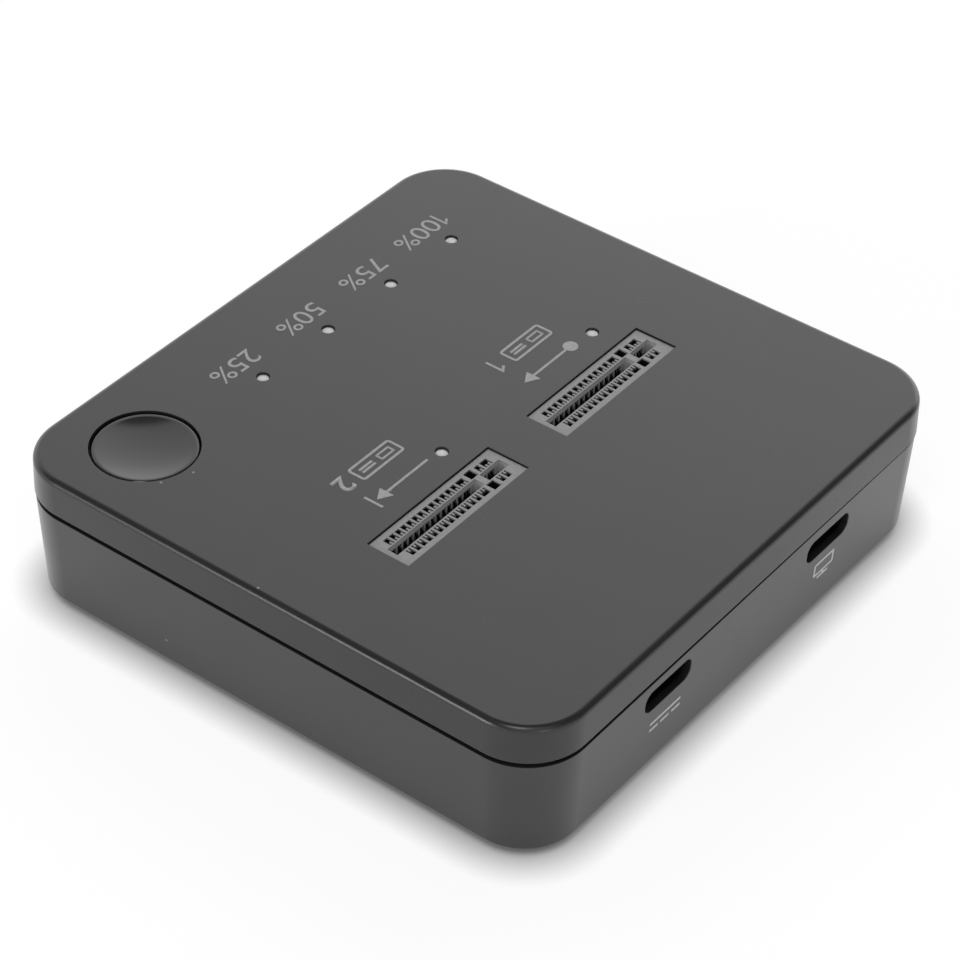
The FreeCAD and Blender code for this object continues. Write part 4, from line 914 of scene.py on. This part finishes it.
class NodeBench:
    """A node tree under construction."""

    def __init__(self, tree):
        self.nodes, self.links = tree.nodes, tree.links

    def feed(self, socket, value):
        """Give a socket a plain number or another node's output."""
        if isinstance(value, float):
            socket.default_value = value
        else:
            self.links.new(value, socket)

    def maths(self, operation, *values):
        """Work out one number from numbers and nodes' outputs."""
        node = self.nodes.new("ShaderNodeMath")
        node.operation = operation
        for socket, value in zip(node.inputs, values):
            self.feed(socket, value)
        return node.outputs["Value"]

    def level(self, value, low, high, from_low=0.0, from_high=1.0, curve="LINEAR"):
        """Map a value to another range."""
        node = self.nodes.new("ShaderNodeMapRange")
        node.interpolation_type = curve
        ends = {"From Min": from_low, "From Max": from_high, "To Min": low, "To Max": high}
        for name, number in ends.items():
            node.inputs[name].default_value = number
        self.links.new(value, node.inputs["Value"])
        return node.outputs["Result"]

    def split(self, vector):
        """The X, Y and Z of a vector."""
        node = self.nodes.new("ShaderNodeSeparateXYZ")
        self.links.new(vector, node.inputs["Vector"])
        return node.outputs

    def mix(self, factor, first, second):
        """Blend two colours; each is a colour value or a node's output."""
        node = self.nodes.new("ShaderNodeMix")
        node.data_type = "RGBA"
        self.links.new(factor, node.inputs["Factor"])
        sockets = [socket for socket in node.inputs if socket.type == "RGBA"]
        for socket, colour in zip(sockets, (first, second)):
            if isinstance(colour, tuple):
                socket.default_value = (*colour, 1)
            else:
                self.links.new(colour, socket)
        return [socket for socket in node.outputs if socket.type == "RGBA"][0]


class Finish(NodeBench):
    """A finish under construction: its material, its shader and the places its patterns read."""

    def __init__(self, name):
        self.material = bpy.data.materials.new(name)
        self.material.use_nodes = True
        super().__init__(self.material.node_tree)
        self.shader = self.nodes["Principled BSDF"]
        self.place = self.nodes.new("ShaderNodeTexCoord").outputs["Object"]

    def set(self, **values):
        for name, value in values.items():
            self.shader.inputs[name.replace("_", " ")].default_value = value

    def noise(self, size, detail=3):
        """Cloudy variation whose features are about so many metres across."""
        node = self.nodes.new("ShaderNodeTexNoise")
        node.inputs["Scale"].default_value = 1 / size
        node.inputs["Detail"].default_value = detail
        self.links.new(self.place, node.inputs["Vector"])
        return node.outputs["Fac"]

    def scattered_points(self, size):
        """Distance to the nearest of many scattered points."""
        node = self.nodes.new("ShaderNodeTexVoronoi")
        node.inputs["Scale"].default_value = 1 / size
        self.links.new(self.place, node.inputs["Vector"])
        return node.outputs["Distance"]

    def cloud(self, size, dark, light, detail=3, start=0.3, end=0.7):
        """A colour that drifts between a dark and a light one."""
        node = self.nodes.new("ShaderNodeValToRGB")
        stops = ((start, dark), (end, light))
        for element, (position, colour) in zip(node.color_ramp.elements, stops):
            element.position = position
            element.color = (*colour, 1)
        self.links.new(self.noise(size, detail), node.inputs["Fac"])
        return node.outputs["Color"]

    def colour(self, output):
        """Paint the surface with a node's output."""
        self.links.new(output, self.shader.inputs["Base Color"])

    def gloss(self, size, smoothest, roughest, detail=3):
        """Roughness that drifts between two values."""
        drift = self.level(self.noise(size, detail), smoothest, roughest, 0.3, 0.7)
        self.links.new(drift, self.shader.inputs["Roughness"])

    def relief(self, height, depth, strength):
        """Raise the surface by a pattern; depth is in metres."""
        node = self.nodes.new("ShaderNodeBump")
        node.inputs["Strength"].default_value = strength
        node.inputs["Distance"].default_value = depth
        self.links.new(height, node.inputs["Height"])
        self.links.new(node.outputs["Normal"], self.shader.inputs["Normal"])

    def grain(self, size, depth, strength, detail=3):
        """Raise the surface by a fine uneven pattern."""
        self.relief(self.noise(size, detail), depth, strength)


def grey(value):
    return (value, value, value * 1.02)


def satin_plastic(name, shade, rough, ior=1.5):
    """Moulded plastic with a fine even grain, a faint mottle and a little dust."""
    finish = Finish(name)
    finish.set(Roughness=rough, IOR=ior)
    mottle = finish.cloud(9 * MM, grey(shade * 0.93), grey(shade * 1.07), detail=4)
    dust = finish.level(finish.scattered_points(7 * MM), 1.0, 0.0, 0.012, 0.03)
    finish.colour(finish.mix(dust, mottle, grey(0.22)))
    finish.gloss(4 * MM, rough - 0.008, rough + 0.012, detail=5)
    finish.grain(0.16 * MM, 0.003 * MM, 0.3, detail=2)
    return finish.material


def socket_plastic():
    """Pale glass-filled moulding with painted light and shade: black down in its cavities, and a light grey
    down its card slot as though the light reached there.
    """
    finish = Finish("socket moulding")
    finish.set(Roughness=0.5, IOR=1.5)
    middle, top = middle_of("m2_socket_source").y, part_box("m2_socket_source")[1].z
    slot_half_width = 0.8 * MM
    place = finish.split(finish.place)
    frame_share = finish.level(place["Z"], 0.0, 1.0, top - 0.3 * MM, top - 0.12 * MM)
    painted_light_share = finish.level(place["Z"], 0.0, 1.0, top - 2.3 * MM, top - 1.7 * MM)
    slot_share = finish.maths("COMPARE", place["Y"], middle, slot_half_width)
    # painted shade: below the frame the colour turns nearly black, except in the card slot, where a painted
    # light grey reaches down about 2 mm
    below = finish.mix(finish.maths("MULTIPLY", slot_share, painted_light_share), grey(0.004), grey(0.42))
    pale = finish.cloud(0.5 * MM, grey(0.22), grey(0.265), detail=5)
    finish.colour(finish.mix(frame_share, below, pale))
    finish.grain(0.12 * MM, 0.004 * MM, 0.4)
    return finish.material


def plated_metal(name, colour, rough, grain=0.2 * MM):
    """Plated or drawn metal with a faint uneven sheen."""
    finish = Finish(name)
    finish.set(Metallic=1.0)
    finish.colour(finish.cloud(grain * 4, tuple(part * 0.88 for part in colour), colour, detail=4))
    finish.gloss(grain, rough - 0.06, rough + 0.08, detail=4)
    finish.grain(grain / 2, 0.002 * MM, 0.3)
    return finish.material


def clear_lens():
    """Milky clear plastic that scatters the light it gathers."""
    finish = Finish("milky light guide")
    finish.set(IOR=1.49, Subsurface_Weight=0.35, Subsurface_Scale=MM, Subsurface_Radius=(1, 1, 1))
    finish.colour(finish.cloud(0.5 * MM, grey(0.6), grey(0.66)))
    finish.gloss(0.3 * MM, 0.22, 0.36)
    finish.grain(0.2 * MM, 0.003 * MM, 0.3)
    return finish.material


def printed_ink(name, shade):
    """Pad-printed pale ink, slightly thin in places."""
    finish = Finish(name)
    finish.set(IOR=1.5)
    finish.colour(finish.cloud(
        0.35 * MM, grey(shade * 0.9), grey(shade * 1.1), detail=5, start=0.35, end=0.6
    ))
    finish.gloss(0.2 * MM, 0.45, 0.6)
    return finish.material


def spring_metal():
    """Gold plated spring wire with painted shade: bright at its tips, painted dim down in the socket."""
    finish = Finish("gold plated spring")
    finish.set(Metallic=1.0)
    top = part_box("m2_socket_source")[1].z
    painted_light_share = finish.level(finish.split(finish.place)["Z"], 0.0, 1.0, top - 1.6 * MM, top - 0.6 * MM)
    plating = finish.cloud(0.4 * MM, (0.68, 0.66, 0.6), (0.76, 0.74, 0.68), detail=4)
    # painted shade: the plating's colour fades to a dark brown from 0.6 to 1.6 mm below the socket's top
    finish.colour(finish.mix(painted_light_share, (0.16, 0.15, 0.13), plating))
    finish.gloss(0.1 * MM, 0.24, 0.38, detail=4)
    return finish.material


def rubber():
    """Matt black rubber with moulding dust."""
    finish = Finish("foot rubber")
    finish.set(IOR=1.5)
    finish.colour(finish.cloud(0.8 * MM, grey(0.012), grey(0.03), detail=6, end=0.75))
    finish.gloss(0.5 * MM, 0.75, 0.9, detail=4)
    finish.grain(0.15 * MM, 0.01 * MM, 0.5, detail=4)
    return finish.material


def solder_mask():
    """Green lacquer over copper tracks."""
    finish = Finish("solder mask")
    finish.set(IOR=1.5, Coat_Weight=0.3, Coat_Roughness=0.2)
    tracks = finish.nodes.new("ShaderNodeTexBrick")
    tracks.inputs["Scale"].default_value = 1 / (2.2 * MM)
    tracks.inputs["Mortar Size"].default_value = 0.06
    tracks.inputs["Color1"].default_value = (0.006, 0.05, 0.022, 1)
    tracks.inputs["Color2"].default_value = (0.008, 0.058, 0.026, 1)
    tracks.inputs["Mortar"].default_value = (0.014, 0.085, 0.038, 1)
    finish.links.new(finish.place, tracks.inputs["Vector"])
    deeper = finish.level(finish.noise(6 * MM, detail=4), 0.0, 0.25)
    finish.colour(finish.mix(deeper, tracks.outputs["Color"], (0.004, 0.03, 0.014)))
    finish.gloss(0.8 * MM, 0.3, 0.42)
    finish.relief(tracks.outputs["Fac"], 0.02 * MM, 0.3)
    return finish.material


def moulding_compound(name, shade, rough=0.55, sheen=0.5):
    """Black or grey compound with a sandy surface, as on chips and inductors."""
    finish = Finish(name)
    finish.set(IOR=1.5, Specular_IOR_Level=sheen)
    finish.colour(finish.cloud(0.3 * MM, grey(shade * 0.8), grey(shade * 1.25), detail=6))
    finish.gloss(0.4 * MM, rough - 0.06, rough + 0.08, detail=4)
    finish.grain(0.08 * MM, 0.008 * MM, 0.5)
    return finish.material


def ceramic():
    """Fired brown ceramic."""
    finish = Finish("fired ceramic")
    finish.set(IOR=1.6)
    finish.colour(finish.cloud(0.4 * MM, (0.24, 0.15, 0.08), (0.34, 0.22, 0.12), detail=5))
    finish.gloss(0.3 * MM, 0.4, 0.55)
    finish.grain(0.1 * MM, 0.004 * MM, 0.3)
    return finish.material


def dress(piece, material):
    """Give a piece or a CAD node one finish all over."""
    if piece.material_slots:
        for slot in piece.material_slots:
            slot.material = material
    else:
        piece.data.materials.append(material)


def paint_shade_in_mouths(shell, material):
    """Give the inner faces of the receptacle mouths a near-black, barely reflecting finish of their own:
    painted shade, so that the mouths read black.
    """
    shell.data.materials.append(material)
    shade_index = len(shell.data.materials) - 1
    for port in PORTS:
        x = middle_of(f"usb_c_shell_{port}").x
        for face in shell.data.polygons:
            place = face.center
            across = abs(place.x - x) < 4.8 * MM and abs(place.z - PORT_Z) < 1.95 * MM
            if across and 0 < place.y < REAR_FACE - MOUTH_EDGE:
                face.material_index = shade_index


# --- putting it together ----------------------------------------------------------------------

cover_satin = satin_plastic("cover satin", 0.0135, 0.28)
# painted light: the shell's finish is a slightly paler, more reflective copy of the cover's, so that the
# lower half reads brighter
shell_satin = satin_plastic("shell satin", 0.015, 0.28, ior=1.56)
button_satin = satin_plastic("button satin", 0.014, 0.12)
pale_ink = printed_ink("pale ink", 0.3)
wall_ink = printed_ink("wall ink", 0.55)
pale_socket = socket_plastic()
spring_gold = spring_metal()
gold_plate = plated_metal("gold plated contact", (0.75, 0.73, 0.68), 0.3, grain=0.1 * MM)
bright_steel = plated_metal("bright steel", (0.55, 0.55, 0.56), 0.3)
# painted shade: the receptacle shells are made this dark so that the receptacles read black within their
# mouths
dark_steel = plated_metal("dark plated steel", (0.03, 0.03, 0.032), 0.45)
tinned = plated_metal("tinned metal", (0.6, 0.6, 0.58), 0.38)
milky_guide = clear_lens()
foot_rubber = rubber()
black_moulding = moulding_compound("black moulding", 0.008, 0.6)
# painted shade for the inner faces of the receptacle mouths: near black and barely reflecting
mouth_painted_shade = moulding_compound("mouth painted shade", 0.01, 0.7, sheen=0.15)
chip_compound = moulding_compound("chip compound", 0.012)
iron_powder = moulding_compound("pressed iron powder", 0.05, 0.65)
board_lacquer = solder_mask()
brown_ceramic = ceramic()


def fit(piece, body, slot, finish, *nodes):
    """Mount a finished piece on its body, in place of the nodes that it stands for."""
    dress(piece, finish)
    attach(piece, body)
    if nodes:
        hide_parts(*nodes)
    return piece


fit(make_cover(), "housing", "case_plastic", cover_satin, "top_cover")
shell = fit(make_shell(), "housing", "case_plastic", shell_satin, "bottom_shell")
paint_shade_in_mouths(shell, mouth_painted_shade)
for end in ("front", "rear"):
    for hand in ("left", "right"):
        node = f"foot_{end}_{hand}"
        fit(make_foot(f"rubber_{node}", middle_of(node)), "housing", "rubber", foot_rubber, node)
fit(make_screws(), "housing", "screw_steel", bright_steel, "case_screws")
fit(make_button(), "start_button", "button_plastic", button_satin, "start_button")
dome = fit(make_dome(), "housing", "screw_steel", bright_steel, "switch_dome")
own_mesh(dome)
fit(make_progress_guide(), "housing", "clear_plastic", milky_guide, "progress_light_guide")
for bay, (x, y) in zip(BAYS, STATUS_LAMPS):
    pin = guide_pin(f"status_guide_{bay}", x, y, STATUS_FLANGE_RADIUS)
    smooth(pin)
    fit(pin, "housing", "clear_plastic", milky_guide, f"status_light_guide_{bay}")
for mark in make_roof_marks():
    fit(mark, "housing", "socket_plastic", pale_ink)
for mark in make_wall_marks():
    fit(mark, "housing", "socket_plastic", wall_ink)

CARRIED_OVER = {
    "m2_socket_source": pale_socket, "m2_socket_target": pale_socket,
    "m2_contacts_source": spring_gold, "m2_contacts_target": spring_gold,
    "usb_c_shell_data": dark_steel, "usb_c_shell_power": dark_steel,
    "usb_c_tongue_data": black_moulding, "usb_c_tongue_power": black_moulding,
    "usb_c_contacts_data": gold_plate, "usb_c_contacts_power": gold_plate,
    "main_board": board_lacquer, "switch_body": black_moulding, "switch_plate": bright_steel,
    "switch_plunger": black_moulding, "switch_terminals": tinned,
    "indicator_lamps": milky_guide, "bridge_chip_source": chip_compound,
    "bridge_chip_target": chip_compound, "copy_controller_chip": chip_compound,
    "firmware_memory_chip": chip_compound, "power_inductors": iron_powder, "bulk_capacitor": tinned,
    "timing_crystals": tinned, "ceramic_capacitors": brown_ceramic,
}
for node, material in CARRIED_OVER.items():
    dress(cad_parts[node], material)


# --- studio -----------------------------------------------------------------------------------

TABLE_GLOW, MIRRORED_GLOW = 0.83, 0.35
# ambient occlusion dims the table's glow near the object into a painted shadow: how far it reaches and how
# steeply it darkens
SHADE_REACH, SHADE_CONTRAST = 4.8 * MM, 1.5
LAMP_DISTANCE = 1.5


def towards(azimuth, elevation):
    """The direction that points at a place in the room; angles in degrees."""
    flat = math.cos(math.radians(elevation))
    return Vector((
        flat * math.cos(math.radians(azimuth)), flat * math.sin(math.radians(azimuth)),
        math.sin(math.radians(elevation)),
    ))


def make_floor():
    """A wide white table: to the eye its colour is shared between paint and glow, less near the object, where
    ambient occlusion takes the glow away as a painted shadow, also in reflections.
    """
    let_go()
    bpy.ops.mesh.primitive_plane_add(size=6, location=(0, 0, 0))
    floor = bpy.context.object
    floor.name = "studio_floor"
    material = bpy.data.materials.new("white table")
    material.use_nodes = True
    bench = NodeBench(material.node_tree)
    shader = bench.nodes["Principled BSDF"]
    shader.inputs["Roughness"].default_value = 0.9
    shader.inputs["Specular IOR Level"].default_value = 0.0
    shader.inputs["Emission Color"].default_value = (1, 1, 1, 1)
    path = bench.nodes.new("ShaderNodeLightPath").outputs
    seen = path["Is Camera Ray"]
    mirrored = bench.maths("MAXIMUM", path["Is Glossy Ray"], path["Is Transmission Ray"])
    occlusion = bench.nodes.new("ShaderNodeAmbientOcclusion")
    occlusion.samples = 16
    occlusion.inputs["Distance"].default_value = SHADE_REACH
    openness = occlusion.outputs["AO"]
    # painted shadow: the glow seen by the camera, and the glow seen in reflections, is dimmed where the
    # object closes in
    shade = bench.maths("POWER", openness, SHADE_CONTRAST)
    glow = bench.maths("MULTIPLY", bench.maths("MULTIPLY", seen, shade), TABLE_GLOW)
    sheen = bench.maths("MULTIPLY", bench.maths("MULTIPLY", mirrored, openness), MIRRORED_GLOW)
    bench.links.new(bench.maths("ADD", glow, sheen), shader.inputs["Emission Strength"])
    bench.links.new(bench.mix(seen, (0.9, 0.9, 0.9), (0.21, 0.21, 0.21)), shader.inputs["Base Color"])
    floor.data.materials.append(material)


class Room(NodeBench):
    """The room's light, as strengths that depend on the direction looked in."""

    def __init__(self):
        world = bpy.data.worlds.new("white room")
        bpy.context.scene.world = world
        world.use_nodes = True
        super().__init__(world.node_tree)
        self.nodes.clear()
        self.direction = self.nodes.new("ShaderNodeTexCoord").outputs["Generated"]
        self.height = self.split(self.direction)["Z"]

    def step(self, value, start, full, strength=1.0):
        """Rise softly from nothing at start to a strength at full."""
        return self.level(value, 0.0, strength, start, full, curve="SMOOTHSTEP")

    def facing(self, azimuth, elevation):
        """How far the direction agrees with one given in degrees."""
        node = self.nodes.new("ShaderNodeVectorMath")
        node.operation = "DOT_PRODUCT"
        node.inputs[1].default_value = towards(azimuth, elevation)
        self.links.new(self.direction, node.inputs[0])
        return node.outputs["Value"]

    def finish(self, strength):
        """Light the object with the strength, and show plain white to the camera."""
        lit = self.nodes.new("ShaderNodeBackground")
        self.links.new(strength, lit.inputs["Strength"])
        white = self.nodes.new("ShaderNodeBackground")
        path = self.nodes.new("ShaderNodeLightPath")
        chosen = self.nodes.new("ShaderNodeMixShader")
        out = self.nodes.new("ShaderNodeOutputWorld")
        for background in (lit, white):
            background.inputs["Color"].default_value = (1, 1, 1, 1)
        self.links.new(path.outputs["Is Camera Ray"], chosen.inputs["Fac"])
        self.links.new(lit.outputs["Background"], chosen.inputs[1])
        self.links.new(white.outputs["Background"], chosen.inputs[2])
        self.links.new(chosen.outputs["Shader"], out.inputs["Surface"])


def make_room():
    """Bright walls with a dark corner, a tall bright screen behind, a softer one in front, a dim ceiling."""
    room = Room()
    ceiling = 0.18
    away_from_corner = room.step(room.facing(140, 0), 0.92, 0.72, strength=0.85)
    below_ceiling = room.step(room.height, 0.46, 0.28)
    walls = room.maths("ADD", room.maths("MULTIPLY", below_ceiling, away_from_corner), ceiling)
    upper = room.step(room.height, 0.83, 0.8, strength=1.6)
    lower = room.step(room.height, 0.57, 0.35, strength=0.4)
    slant = room.maths("ADD", room.step(room.facing(150, 0), 0.0, 0.6, strength=0.4), 0.8)
    behind = room.maths("MULTIPLY", room.step(room.facing(222, 0), 0.3, 0.6), slant)
    screen = room.maths("MULTIPLY", behind, room.maths("ADD", upper, lower))
    front = room.step(room.facing(45, 50), 0.8, 0.93, strength=0.9)
    room.finish(room.maths("MAXIMUM", walls, room.maths("MAXIMUM", screen, front)))


def soft_lamp(name, azimuth, elevation, width, height, brightness):
    """A softbox that faces the object; its sizes are in degrees as seen from there."""
    lamp = bpy.data.lights.new(name, "AREA")
    lamp.shape = "RECTANGLE"
    lamp.size = 2 * LAMP_DISTANCE * math.tan(math.radians(width / 2))
    lamp.size_y = 2 * LAMP_DISTANCE * math.tan(math.radians(height / 2))
    lamp.energy = brightness * math.pi * lamp.size * lamp.size_y
    holder = bpy.data.objects.new(name, lamp)
    bpy.context.scene.collection.objects.link(holder)
    holder.location = towards(azimuth, elevation) * LAMP_DISTANCE
    holder.rotation_euler = towards(azimuth, elevation).to_track_quat("Z", "Y").to_euler()


def make_lamps():
    """Small softboxes whose edges draw the thin lights along the rounded edges."""
    soft_lamp("side_strip", -22, 14, width=15, height=20, brightness=8)
    soft_lamp("front_lamp", 61, 19, width=10, height=10, brightness=5)
    soft_lamp("high_lamp", 18, 64, width=14, height=14, brightness=8)


def make_camera():
    """A long lens that looks down on the button's corner from behind the receptacles."""
    lens = bpy.data.cameras.new("camera")
    lens.lens = 123.0205
    lens.sensor_width = 36
    lens.clip_start = 0.01
    holder = bpy.data.objects.new("camera", lens)
    bpy.context.scene.collection.objects.link(holder)
    holder.location = (0.240166, 0.177916, 0.257738)
    holder.rotation_euler = [math.radians(angle) for angle in (50.3928, -1.2465, 127.5992)]
    bpy.context.scene.camera = holder


make_floor()
make_room()
make_lamps()
make_camera()
bpy.context.scene.view_settings.view_transform = "Standard"
